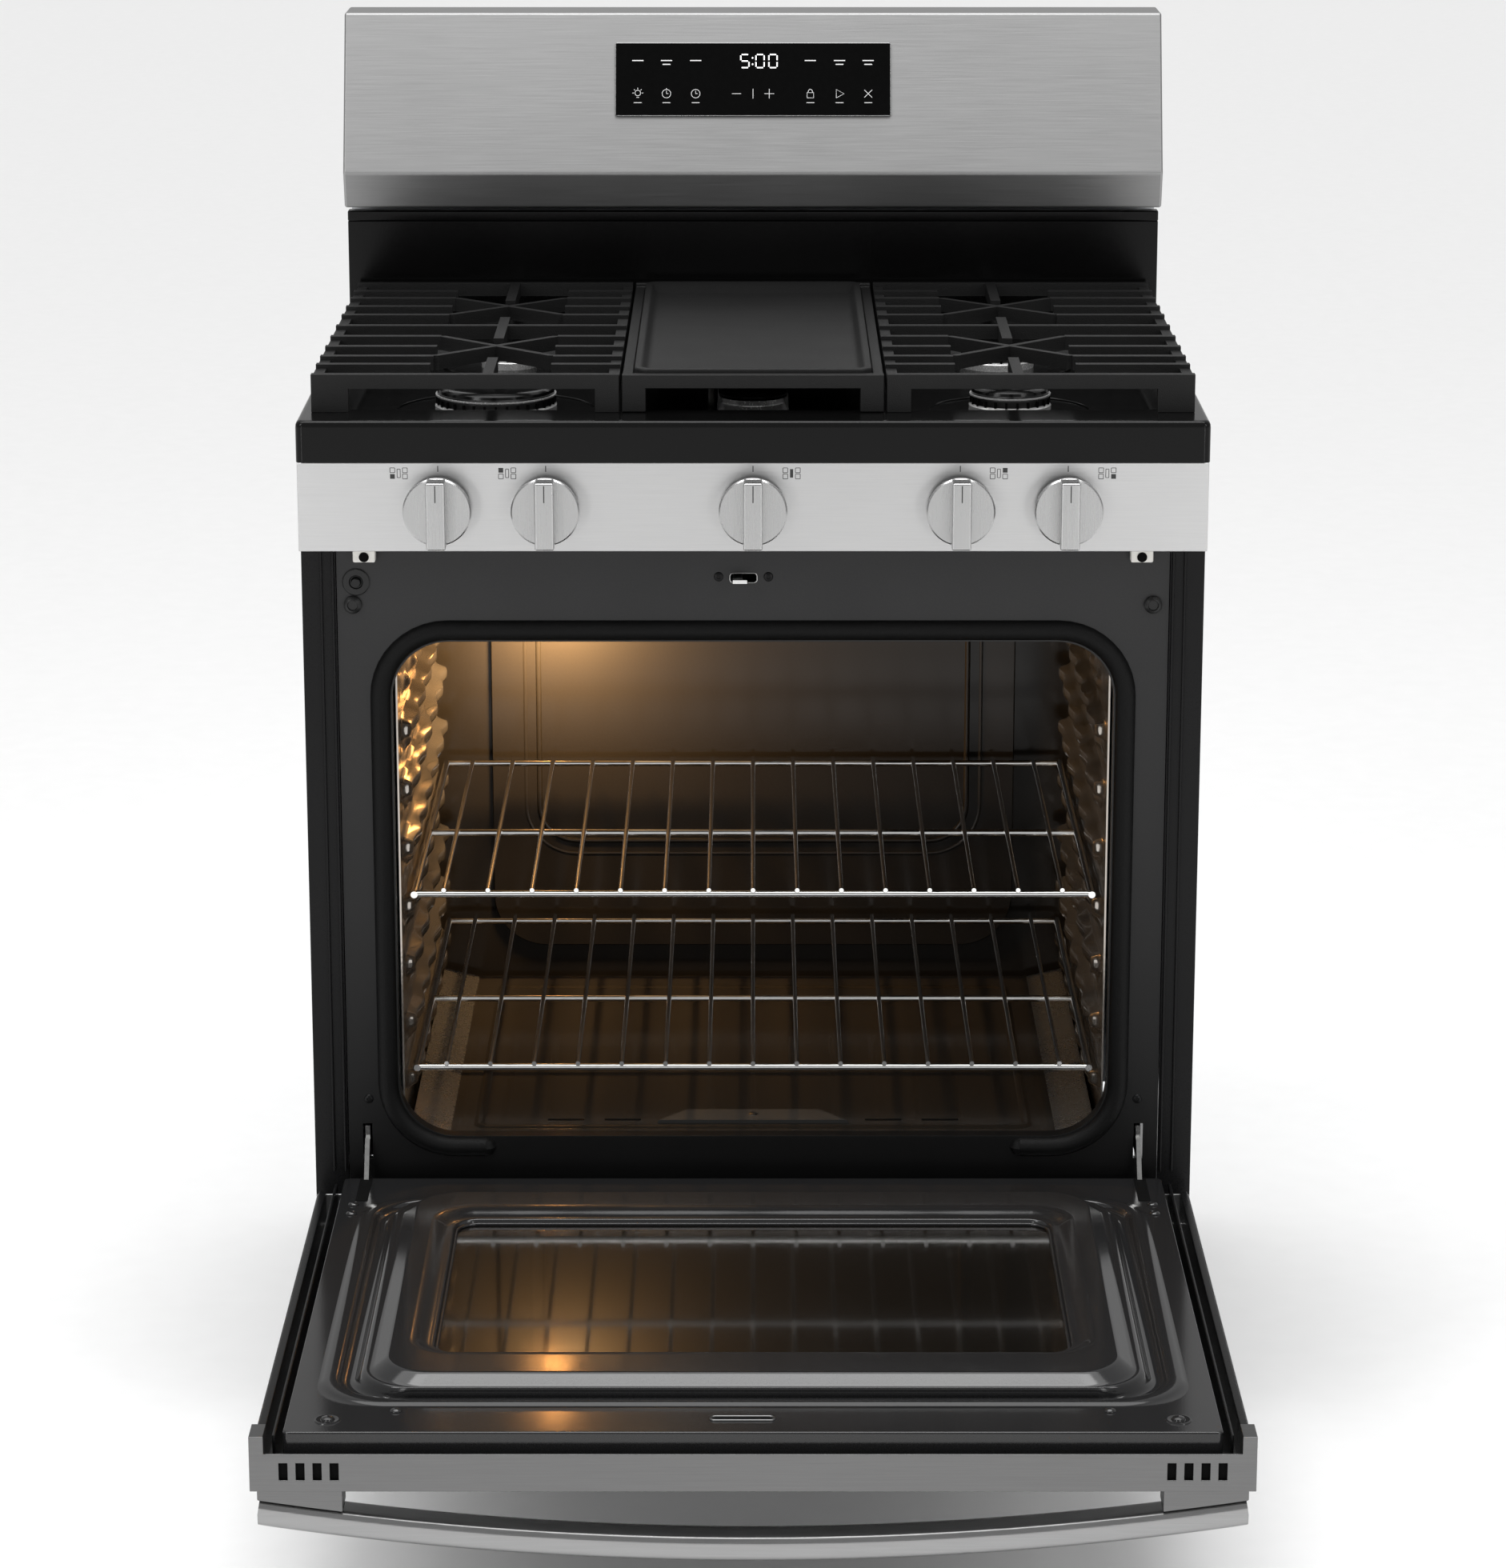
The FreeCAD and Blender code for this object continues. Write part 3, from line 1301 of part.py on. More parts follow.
def hinge_arm(x):
    """A steel arm, fixed in the front frame, that ends at the door's pivot with a pin."""
    span = grown((x, x), size.hinge_arm / 2)
    pivot = (pivot_y, size.door_pivot_z)
    root = (frame_y + size.sheet, size.hinge_slot_z)
    run, climb = root[0] - pivot[0], root[1] - pivot[1]
    length = hypotenuse(run, climb)
    across_y, across_z = (size.hinge_bar_width / 2 * side / length for side in (climb, run))
    body = new_body("arm_bar")
    pad(body, "yz", span,
        (polygon, (pivot[0] - across_y, pivot[1] + across_z),
         (pivot[0] + across_y, pivot[1] - across_z),
         (root[0] + across_y, root[1] - across_z), (root[0] - across_y, root[1] + across_z)))
    boss = rod("arm_boss", "x", pivot, size.hinge_boss_radius, *span)
    tongue = block("arm_tongue", span, (frame_y, frame_y + size.hinge_reach),
                   grown((root[1], root[1]),
                         size.hinge_slot_height / 2 - size.hinge_slot_gap))
    cheek_out = size.hinge_arm / 2 + size.hinge_side_gap + size.hinge_cheek
    pin = rod("arm_pin", "x", pivot, size.hinge_pin_radius, x - cheek_out, x + cheek_out)
    return fuse("hinge_arm", [body, boss, tongue, pin])


def hinge_channel(x):
    """A channel inside the door that turns on the arm's pin: two cheeks and the web under them."""
    inner = size.hinge_arm / 2 + size.hinge_side_gap
    outer = inner + size.hinge_cheek
    y = (door_tail_y - size.sheet * 2 - size.hinge_channel_length, door_tail_y - size.sheet * 2)
    floor = size.door_outer_z + size.sheet
    stock = block("channel_stock", grown((x, x), outer), y,
                  (floor, size.door_inner_z - size.sheet))
    trough = block("channel_trough", grown((x, x), inner), grown(y, OVERRUN),
                   (floor + size.sheet, size.door_inner_z))
    bore = rod("channel_bore", "x", (pivot_y, size.door_pivot_z),
               size.hinge_pin_radius + size.hinge_fit, x - outer - OVERRUN,
               x + outer + OVERRUN)
    return cut("hinge_channel", stock, trough, bore)


def hinges():
    node("hinge_arms", group("arms", [hinge_arm(x) for x in both(size.hinge_x)]))
    node("hinge_channels", group("channels", [hinge_channel(x) for x in both(size.hinge_x)]))


def door_latch():
    """The lock's finger: it swings sideways in the frame's slot, round a pin behind the frame."""
    low, high = grown((size.latch_z, size.latch_z), size.latch_thickness / 2)
    x = (size.latch_x - (size.latch_slot_width - size.latch_width) / 2
         + size.latch_side_gap)
    pivot = frame_y + size.latch_pivot_depth
    finger = block("latch_finger", grown((x, x), size.latch_width / 2),
                   (frame_y - size.latch_reach, pivot), (low, high))
    barb = block("latch_barb", (x, x + size.latch_width),
                 (frame_y - size.latch_reach, frame_y - size.latch_reach + size.latch_thickness),
                 (low, high))
    hub = rod("latch_hub", "z", (x, pivot), size.latch_hub_radius, low,
              low + size.latch_hub_height)
    node("door_latch", fuse("latch", [finger, barb, hub]))


def lamp_switch():
    """The sprung button that the door presses to put the oven lamp out."""
    centre = (-size.hinge_x, size.switch_z)
    button = rod("switch_button", "y", centre, size.switch_radius,
                 frame_y - size.switch_proud, frame_y + size.switch_depth)
    node("lamp_switch", button)


def frame_screws():
    """Round screw heads on the front frame, two low at the sides and two beside the latch."""
    places = [(side * size.screw_x, size.screw_z) for side in (-1, 1)]
    places += [(x, size.latch_z + size.latch_screw_rise)
               for x in grown((size.latch_x, size.latch_x), size.latch_screw_spread)]
    heads = [rod("screw_head", "y", place, size.screw_head_radius,
                 frame_y - size.screw_head_height, frame_y) for place in places]
    node("frame_screws", group("screws", heads))


# ---------------------------------------------------------------- storage drawer

def drawer():
    """The drawer under the oven: a folded front panel and a sheet-metal box behind it."""
    half = size.panel_width / 2
    face, back = depth(0), frame_y - size.drawer_front_gap
    front = new_body("drawer_face")
    pad(front, "xz", (face, back), (rectangle, both(half), (size.drawer_bottom, size.drawer_top)))
    pocket(front, "xz", (face + size.sheet, back - size.sheet),
           (rectangle, both(half - size.sheet),
            grown((size.drawer_bottom, size.drawer_top), -size.sheet)))
    node("drawer_front", front)
    box = new_body("drawer_tray")
    x = both(size.drawer_width / 2)
    y = (back, back + size.drawer_length)
    z = (base_top + size.drawer_runner_gap, size.drawer_top - size.drawer_wall_drop)
    pad(box, "xy", z, (rectangle, x, y))
    pocket(box, "xy", (z[0] + size.sheet, z[1]),
           (rectangle, grown(x, -size.sheet), grown(y, -size.sheet)))
    node("drawer_box", box)


for build_sub_part in (
    side_panels, rear_panel, base_frame, levelling_feet, oven_front_frame, oven_gasket,
    oven_walls, oven_back, oven_top_and_floor, oven_bottom_plate, oven_burners,
    oven_lamp_and_probe, cooktop, burners, side_grate, centre_grate, griddle, control_panel,
    knobs, gas_train, cord_gland, console, riser, door_outer_panel, door_inner_panel,
    door_glasses, door_end_cap, door_handle, hinges, door_latch, lamp_switch, frame_screws,
    drawer,
):
    build_sub_part()
oven_rack("oven_rack_lower", LOWER_RACK_LEVEL)
oven_rack("oven_rack_upper", UPPER_RACK_LEVEL)
doc.recompute()

# ---------------------------------------------------------------- checks and files

for thing in doc.Objects:
    if "Invalid" in thing.State or "Error" in thing.State:
        raise RuntimeError(f"{thing.Name} ({thing.Label}) failed: {thing.State}")
for feature, before in cuts:
    if not feature.Shape.Volume < before.Shape.Volume - 1:
        raise RuntimeError(f"{feature.Name} cuts nothing")
for thing in nodes:
    if thing.Shape.isNull() or not thing.Shape.isValid():
        raise RuntimeError(f"{thing.Label} has no valid shape")

os.makedirs("parts", exist_ok=True)
for thing in nodes:
    thing.Shape.exportStep(f"parts/{thing.Label}.step")
print(len(nodes), "sub-parts written")
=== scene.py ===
import json
import math

import bmesh
import bpy
from mathutils import Matrix, Vector


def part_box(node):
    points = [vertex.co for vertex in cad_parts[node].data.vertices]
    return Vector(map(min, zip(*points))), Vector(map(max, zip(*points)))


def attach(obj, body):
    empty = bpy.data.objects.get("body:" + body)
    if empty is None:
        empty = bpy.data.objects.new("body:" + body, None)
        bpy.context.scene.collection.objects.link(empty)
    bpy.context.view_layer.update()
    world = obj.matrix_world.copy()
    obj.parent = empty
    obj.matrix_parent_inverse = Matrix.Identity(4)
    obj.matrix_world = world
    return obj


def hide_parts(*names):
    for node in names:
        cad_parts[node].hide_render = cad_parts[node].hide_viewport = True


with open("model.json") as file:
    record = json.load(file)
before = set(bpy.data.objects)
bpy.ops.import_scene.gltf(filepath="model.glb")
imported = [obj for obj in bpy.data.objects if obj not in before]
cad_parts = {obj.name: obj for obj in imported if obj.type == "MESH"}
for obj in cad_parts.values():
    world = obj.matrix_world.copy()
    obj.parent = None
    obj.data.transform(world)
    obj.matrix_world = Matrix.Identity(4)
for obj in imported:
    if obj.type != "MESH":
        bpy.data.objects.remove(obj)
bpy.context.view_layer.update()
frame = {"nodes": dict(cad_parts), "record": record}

# A freestanding gas range with its oven door open, in metres. Bodies, outer sizes and most places
# come from the frame; the values below are the pressed and fitted details that it leaves plain.
SIDES = (-1, 1)
CORNER_STEPS = 10
RACK_LEVELS = 7
WALL_SHEET = 0.0015
WALL_PAD_PITCH = 0.078
WALL_GRID = (150, 190)
GASKET_RADIUS = 0.0089
GASKET_CORNER = 0.058
GASKET_OPEN_HALF = 0.232
BACK_RIDGE_HALF, BACK_RIDGE_LOW, BACK_RIDGE_HIGH = 0.205, 0.405, 0.672
BUMPER_AT = (0.338, 0.750)
CLIP_X = 0.327
HINGE_X = 0.335
DOOR_PIVOT_Y = -0.0195
DOOR_PLATEAU_HEIGHT = 0.016
DOOR_SLOT_Y = -0.554
HANDLE_THICKNESS = 0.022
HANDLE_GRID = (32, 64)
# Centre and radius of each round burner: two on each side, at the front and at the rear.
BURNERS = ((-0.2215, 0.140, 0.0525), (-0.2215, 0.368, 0.025),
           (0.2215, 0.140, 0.0355), (0.2215, 0.368, 0.0335))
OVAL_BURNER = (-0.031, 0.031, 0.095, 0.410)
BASIN_DROP = 0.022
# For each knob, the place of its burner plan along the panel and the burner that is filled in.
BURNER_PLANS = {1: (-0.294, (-1, -1)), 2: (-0.204, (-1, 1)), 3: (0.032, (0, 0)),
                4: (0.204, (1, 1)), 5: (0.294, (1, -1))}
BURNER_PLAN_Z = 0.8712
# Turned profiles, as (radius, height) points.
SCREW_HEAD = [(0.004, 0.0), (0.004, 0.0004), (0.0034, 0.0012), (0.0018, 0.0016),
              (0.0016, 0.0009), (0.0003, 0.0009)]
DOME_HEAD = [(0.0045, 0.0), (0.0045, 0.0006), (0.0036, 0.0018), (0.002, 0.0024),
             (0.0003, 0.0026)]
DIMPLE = [(0.0105, 0.0), (0.0098, 0.0008), (0.0080, 0.0010), (0.0062, 0.0004),
          (0.0050, 0.0006), (0.0046, 0.0020), (0.0030, 0.0028), (0.0003, 0.0030)]
BUMPER = [(0.0075, 0.0), (0.0075, 0.003), (0.006, 0.0045), (0.0045, 0.0052),
          (0.004, 0.0035), (0.0004, 0.0035)]
BUTTON_BEZEL = [(0.0116, 0.0), (0.0116, 0.0012), (0.0108, 0.0018), (0.0060, 0.0018),
                (0.0052, 0.0006), (0.0046, 0.0006), (0.0046, 0.0)]
FLOOR_SCREW = [(0.0045, 0.0), (0.0045, 0.0006), (0.003, 0.0016), (0.0004, 0.0018)]
CLIP_EYE = [(0.0042, 0.0), (0.0042, 0.0006), (0.0004, 0.0008)]
# The clock: which bars make each digit, and each bar's place and direction.
DIGITS = {"5": "afgcd", "0": "abcdef"}
DIGIT_BARS = {"a": (0, 1, 1), "g": (0, 1, 0), "d": (0, 1, -1), "f": (-1, 0, 0.5),
              "b": (1, 0, 0.5), "e": (-1, 0, -0.5), "c": (1, 0, -0.5)}
ICON_COLUMNS = (-0.1065, -0.0800, -0.0530, 0.0530, 0.0800, 0.1065)
INK_RISE = 0.0013
# The oven lamp's light, and the camera.
LAMP_COLOR = (1.0, 0.60, 0.26)
LAMP_POWER = 17.0
LAMP_OFFSET = (0.02, -0.05, -0.01)
CAMERA_PLACE = (0, -3.948, 1.634)
CAMERA_PITCH = 14.72
CAMERA_LENS = 110.2


def box(node):
    """The two corners of a node's box."""
    low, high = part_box(node)
    return Vector(low), Vector(high)


# ---------------------------------------------------------------- materials

def surface(name, base, other, metallic, rough, grain=60, stretch=(1, 1, 1), bump=0.02,
            distance=0.0004, smudge=0.06, coat=0.0, specular=0.5, glow=None, shade_below=None):
    """A Principled material: noise varies its colour, roughness and height; smudges are larger.

    The painted shade, given as (bottom, top, share), darkens the colour from the top height down:
    below the bottom height only that share of the colour is left.
    """
    mat = bpy.data.materials.new(name)
    mat.use_nodes = True
    tree = mat.node_tree
    shader = tree.nodes["Principled BSDF"]
    shader.inputs["Metallic"].default_value = metallic
    shader.inputs["Coat Weight"].default_value = coat
    shader.inputs["Coat Roughness"].default_value = 0.08
    shader.inputs["Specular IOR Level"].default_value = specular
    place = tree.nodes.new("ShaderNodeTexCoord")
    scale = tree.nodes.new("ShaderNodeMapping")
    scale.inputs["Scale"].default_value = stretch
    tree.links.new(place.outputs["Object"], scale.inputs["Vector"])
    fine = tree.nodes.new("ShaderNodeTexNoise")
    fine.inputs["Scale"].default_value = grain
    fine.inputs["Detail"].default_value = 6
    tree.links.new(scale.outputs["Vector"], fine.inputs["Vector"])
    broad = tree.nodes.new("ShaderNodeTexNoise")
    broad.inputs["Scale"].default_value = 7
    broad.inputs["Detail"].default_value = 4
    tree.links.new(place.outputs["Object"], broad.inputs["Vector"])
    tint = tree.nodes.new("ShaderNodeMix")
    tint.data_type = "RGBA"
    tint.inputs["A"].default_value = (*base, 1)
    tint.inputs["B"].default_value = (*other, 1)
    tree.links.new(fine.outputs["Fac"], tint.inputs["Factor"])
    color = tint.outputs["Result"]
    # Painted shade: the colour is darkened towards the bottom.
    if shade_below:
        split = tree.nodes.new("ShaderNodeSeparateXYZ")
        tree.links.new(place.outputs["Object"], split.inputs["Vector"])
        level = tree.nodes.new("ShaderNodeMapRange")
        for socket, value in zip(("From Min", "From Max", "To Min"), shade_below):
            level.inputs[socket].default_value = value
        tree.links.new(split.outputs["Z"], level.inputs["Value"])
        dimmed = tree.nodes.new("ShaderNodeVectorMath")
        dimmed.operation = "SCALE"
        tree.links.new(color, dimmed.inputs["Vector"])
        tree.links.new(level.outputs["Result"], dimmed.inputs["Scale"])
        color = dimmed.outputs["Vector"]
    tree.links.new(color, shader.inputs["Base Color"])
    blend = tree.nodes.new("ShaderNodeMath")
    blend.operation = "ADD"
    tree.links.new(fine.outputs["Fac"], blend.inputs[0])
    tree.links.new(broad.outputs["Fac"], blend.inputs[1])
    gloss = tree.nodes.new("ShaderNodeMapRange")
    gloss.inputs["From Min"].default_value = 0.6
    gloss.inputs["From Max"].default_value = 1.4
    gloss.inputs["To Min"].default_value = max(rough - smudge, 0.02)
    gloss.inputs["To Max"].default_value = rough + smudge
    tree.links.new(blend.outputs["Value"], gloss.inputs["Value"])
    tree.links.new(gloss.outputs["Result"], shader.inputs["Roughness"])
    height = tree.nodes.new("ShaderNodeBump")
    height.inputs["Strength"].default_value = bump
    height.inputs["Distance"].default_value = distance
    tree.links.new(fine.outputs["Fac"], height.inputs["Height"])
    tree.links.new(height.outputs["Normal"], shader.inputs["Normal"])
    if glow:
        shader.inputs["Emission Color"].default_value = (*glow[0], 1)
        shader.inputs["Emission Strength"].default_value = glow[1]
    return mat


BRUSH_X = (0.02, 1, 1)
BRUSH_Z = (1, 1, 0.03)
MATERIALS = {
    "stainless": surface("stainless", (0.46, 0.46, 0.46), (0.56, 0.56, 0.56), 1.0, 0.32, 900,
                         BRUSH_X, 0.25, 0.0002, 0.05),
    "knob_metal": surface("knob_metal", (0.44, 0.44, 0.44), (0.48, 0.48, 0.478), 1.0, 0.27, 900,
                          BRUSH_Z, 0.08, 0.0002, 0.03),
    "side_enamel": surface("side_enamel", (0.004, 0.004, 0.0045), (0.008, 0.008, 0.008), 0, 0.30,
                           900, bump=0.15, specular=0.15),
    "galvanised_steel": surface("galvanised_steel", (0.36, 0.37, 0.38), (0.52, 0.53, 0.54), 0.9,
                                0.42, 45, bump=0.1, smudge=0.12),
    "foot_plastic": surface("foot_plastic", (0.03, 0.03, 0.03), (0.05, 0.05, 0.05), 0, 0.6, 800,
                            bump=0.2),
    # The frame enamel carries painted shade, darker towards the bottom.
    "frame_enamel": surface("frame_enamel", (0.020, 0.020, 0.0205), (0.029, 0.029, 0.0295), 0,
                            0.38, 700, bump=0.12, specular=0.25, shade_below=(0.25, 0.78, 0.1)),
    "gasket_fibre": surface("gasket_fibre", (0.002, 0.002, 0.002), (0.006, 0.006, 0.006), 0, 0.42,
                            1200, bump=0.5, distance=0.0008, specular=0.12),
    "oven_enamel": surface("oven_enamel", (0.011, 0.0095, 0.008), (0.017, 0.015, 0.0125), 0.1, 0.14,
                           500, bump=0.06, smudge=0.05, specular=0.3),
    "lamp_glass": surface("lamp_glass", (0.16, 0.10, 0.05), (0.22, 0.15, 0.08), 0, 0.3, 200,
                          glow=((1.0, 0.62, 0.28), 0.8)),
    "stainless_rod": surface("stainless_rod", (0.66, 0.66, 0.65), (0.8, 0.8, 0.8), 1.0, 0.16, 300,
                             bump=0.05),
    "rack_chrome": surface("rack_chrome", (0.72, 0.72, 0.71), (0.86, 0.86, 0.85), 1.0, 0.13, 160,
                           bump=0.05, smudge=0.05),
    "cooktop_enamel": surface("cooktop_enamel", (0.0018, 0.0018, 0.0018), (0.0035, 0.0035, 0.0035),
                              0, 0.16, 900, bump=0.1, smudge=0.05, specular=0.20),
    "burner_aluminium": surface("burner_aluminium", (0.66, 0.66, 0.66), (0.80, 0.80, 0.79), 0.6,
                                0.24, 500, bump=0.25, smudge=0.08),
    "ceramic": surface("ceramic", (0.75, 0.73, 0.68), (0.85, 0.84, 0.8), 0, 0.3, 300),
    "cast_iron": surface("cast_iron", (0.005, 0.005, 0.005), (0.010, 0.010, 0.010), 0, 0.50, 900,
                         bump=0.6, distance=0.0005, smudge=0.08, specular=0.22),
    "brass": surface("brass", (0.65, 0.48, 0.2), (0.76, 0.6, 0.3), 1.0, 0.3, 300),
    "black_plastic": surface("black_plastic", (0.006, 0.006, 0.006), (0.012, 0.012, 0.012), 0,
                             0.45, 700, bump=0.2, specular=0.3),
    "display_glass": surface("display_glass", (0.001, 0.001, 0.001), (0.002, 0.002, 0.002), 0,
                             0.12, 200, bump=0.02, smudge=0.05, specular=0.08),
    "door_glass": surface("door_glass", (0.004, 0.0036, 0.003), (0.007, 0.006, 0.005), 0, 0.03,
                          2500, bump=0.005, coat=1.0, smudge=0.01),
    "door_enamel": surface("door_enamel", (0.010, 0.010, 0.0105), (0.017, 0.017, 0.0175), 0, 0.13,
                           600, bump=0.04, smudge=0.04, specular=0.5),
}
DETAILS = {
    "white_ink": surface("white_ink", (0.85, 0.85, 0.85), (0.95, 0.95, 0.95), 0, 0.5, 300,
                         glow=((1, 1, 1), 0.9)),
    "grey_ink": surface("grey_ink", (0.5, 0.5, 0.5), (0.6, 0.6, 0.6), 0, 0.5, 300,
                        glow=((1, 1, 1), 0.18)),
    "black_ink": surface("black_ink", (0.01, 0.01, 0.01), (0.03, 0.03, 0.03), 0, 0.5, 300),
    # Painted shade: a near-black material for blocks set in slots, holes and gaps where shade
    # falls.
    "hole_shade": surface("hole_shade", (0.001, 0.001, 0.001), (0.002, 0.002, 0.002), 0, 0.8, 300,
                         specular=0.1),
    # Painted shade: a dark copy of the knob metal for side walls and recesses in shadow.
    "side_shade": surface("side_shade", (0.10, 0.10, 0.10), (0.15, 0.15, 0.15), 1.0, 0.3, 400),
    # Painted reflection: a bright, warm, metallic copy of the cavity enamel for the side walls.
    "wall_reflection_enamel": surface("wall_reflection_enamel", (0.38, 0.35, 0.31), (0.50, 0.46, 0.42), 0.95, 0.12, 400,
                           bump=0.12, smudge=0.05),
    # Painted light: a lighter copy of the stainless for the control panel.
    "panel_steel_lit": surface("panel_steel_lit", (0.50, 0.50, 0.50), (0.57, 0.57, 0.57), 1.0, 0.34, 900,
                           BRUSH_X, 0.25, 0.0002, 0.05),
    # Painted shade: a darker copy of the stainless for the door's end cap, handle posts and slot
    # rim.
    "door_steel_shaded": surface("door_steel_shaded", (0.14, 0.14, 0.14), (0.18, 0.18, 0.18), 1.0, 0.34, 900,
                          BRUSH_X, 0.25, 0.0002, 0.05),
    "handle_steel": surface("handle_steel", (0.26, 0.26, 0.26), (0.34, 0.34, 0.34), 1.0, 0.20,
                            900, BRUSH_X, 0.2, 0.0002, 0.04),
    # Painted shade: a darker copy of the stainless for the console shell.
    "console_steel_shaded": surface("console_steel_shaded", (0.29, 0.29, 0.29), (0.35, 0.35, 0.35), 1.0, 0.44,
                             900, BRUSH_X, 0.25, 0.0002, 0.04),
    "hinge_steel": surface("hinge_steel", (0.26, 0.26, 0.26), (0.36, 0.36, 0.35), 1.0, 0.25, 300),
    "rubber": surface("rubber", (0.006, 0.006, 0.006), (0.010, 0.010, 0.010), 0, 0.4, 600, bump=0.2,
                      specular=0.35),
    # Painted sheen: a paler, metallic copy of the floor enamel for the side strips.
    "strip_sheen_enamel": surface("strip_sheen_enamel", (0.26, 0.25, 0.24), (0.34, 0.33, 0.31), 0.9, 0.28,
                            500),
    # Painted reflection: a lighter copy of the floor enamel for the raised boss.
    "boss_reflection_enamel": surface("boss_reflection_enamel", (0.030, 0.029, 0.028), (0.045, 0.044, 0.042), 0.2, 0.22,
                           500),
}
SLOT_OF = {part["node"]: part["material_slot"] for part in frame["record"]["subparts"]}
BODY_OF = {node: body for body, held in frame["record"]["behaviour"]["bodies"].items()
           for node in held}
for node_name, cad in frame["nodes"].items():
    for material_slot in cad.material_slots:
        material_slot.material = MATERIALS[SLOT_OF[node_name]]


# ---------------------------------------------------------------- mesh helpers

def piece(name, mesh, body, slot, material=None, stands_for=(), smooth=35):
    """Makes an object of a mesh, gives it its material and lets it ride on its body."""
    made = bpy.data.objects.new(name, mesh)
    bpy.context.scene.collection.objects.link(made)
    mesh.materials.clear()
    mesh.materials.append(material or MATERIALS[slot])
    mesh.shade_smooth()
    mesh.set_sharp_from_angle(angle=math.radians(smooth))
    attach(made, body)
    if stands_for:
        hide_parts(*stands_for)
    made.modifiers.new("even_shading", "WEIGHTED_NORMAL").keep_sharp = True
    return made


def mesh_of(name, work):
    """Turns a bmesh into a mesh, with its faces turned outwards."""
    bmesh.ops.recalc_face_normals(work, faces=work.faces)
    mesh = bpy.data.meshes.new(name)
    work.to_mesh(mesh)
    work.free()
    return mesh


def bevel(work, width, segments=3):
    """Rounds the hard edges of a bmesh."""
    limit = math.radians(30)
    edges = [edge for edge in work.edges if len(edge.link_faces) == 2
             and edge.calc_face_angle(0) > limit]
    bmesh.ops.bevel(work, geom=edges, offset=width, segments=segments, profile=0.5,
                    affect="EDGES", clamp_overlap=True)


def softened(node, width, segments=3, material=None):
    """Stands for a CAD node: the same shape, with its hard edges rounded."""
    work = bmesh.new()
    work.from_mesh(frame["nodes"][node].data)
    bmesh.ops.remove_doubles(work, verts=work.verts, dist=1e-5)
    bmesh.ops.dissolve_limit(work, angle_limit=math.radians(0.5), verts=work.verts,
                             edges=work.edges)
    bevel(work, width, segments)
    return piece(node + "_soft", mesh_of(node, work), BODY_OF[node], SLOT_OF[node],
                 material=material, stands_for=(node,))


def ring_points(x, y, radius, z, plane="xy"):
    """The points of a rounded rectangle, with a fixed number at each corner."""
    corners = ((x[1], y[1], 0), (x[0], y[1], 90), (x[0], y[0], 180), (x[1], y[0], 270))
    points = []
    for cx, cy, start in corners:
        sx = cx - radius if cx == x[1] else cx + radius
        sy = cy - radius if cy == y[1] else cy + radius
        for step in range(CORNER_STEPS + 1):
            turn = math.radians(start + 90 * step / CORNER_STEPS)
            a, b = sx + radius * math.cos(turn), sy + radius * math.sin(turn)
            points.append(Vector((a, b, z)) if plane == "xy" else Vector((a, z, b)))
    return points


def rounded_route(stations, radii, steps=4):
    """Rounds each inner station of a pressing's profile. A station is (x0, x1, y0, y1, r, z)."""
    out = [stations[0]]
    for before, here, after, radius in zip(stations, stations[1:], stations[2:], radii):
        into, away = [b - a for a, b in zip(here, before)], [b - a for a, b in zip(here, after)]
        lengths = [math.hypot((v[0] ** 2 + v[2] ** 2) ** 0.5, v[5]) or 1 for v in (into, away)]
        reach = [min(0.45, radius / length) for length in lengths]
        start = [h + v * reach[0] for h, v in zip(here, into)]
        end = [h + v * reach[1] for h, v in zip(here, away)]
        for step in range(steps + 1):
            t = step / steps
            out.append([a * (1 - t) ** 2 + 2 * h * t * (1 - t) + b * t * t
                        for a, h, b in zip(start, here, end)])
    return out + [stations[-1]]


def pressing(name, stations, radii, body, slot, fill=False, **options):
    """A pressed sheet: rounded rectangles joined one after the other, the last one filled if asked.
    """
    work = bmesh.new()
    rings = [[work.verts.new(p) for p in ring_points((s[0], s[1]), (s[2], s[3]),
                                                     max(s[4], 0.0002), s[5])]
             for s in rounded_route(stations, radii)]
    for near, far in zip(rings, rings[1:]):
        for a in range(len(near)):
            b = (a + 1) % len(near)
            work.faces.new((near[a], near[b], far[b], far[a]))
    if fill:
        work.faces.new(rings[-1])
    return piece(name, mesh_of(name, work), body, slot, **options)


def lathe(work, profile, centre, axis="z", steps=64):
    """Turns (radius, height) points round an axis through a centre, into a bmesh."""
    rings = []
    for radius, height in profile:
        ring = []
        for step in range(steps):
            turn = 2 * math.pi * step / steps
            a, b = radius * math.cos(turn), radius * math.sin(turn)
            offset = Vector((a, b, height)) if axis == "z" else Vector((a, -height, b))
            ring.append(work.verts.new(centre + offset))
        rings.append(ring)
    for near, far in zip(rings, rings[1:]):
        for a in range(steps):
            b = (a + 1) % steps
            work.faces.new((near[a], near[b], far[b], far[a]))
    for ring in (rings[0], rings[-1]):
        work.faces.new(ring)


def turned(name, profiles, body, slot, axis="z", **options):
    """One mesh of several turned shapes, each (profile, centre)."""
    work = bmesh.new()
    for profile, centre in profiles:
        lathe(work, profile, Vector(centre), axis)
    return piece(name, mesh_of(name, work), body, slot, **options)


def add_block(work, low, high, turn=None, about=None):
    """Adds a box to a bmesh, turned about a point if asked."""
    made = bmesh.ops.create_cube(work, size=1)["verts"]
    middle, span = (Vector(low) + Vector(high)) / 2, Vector(high) - Vector(low)
    for vert in made:
        vert.co = Vector(a * b for a, b in zip(vert.co, span)) + middle
        if turn is not None:
            vert.co = turn @ (vert.co - about) + about
    return made


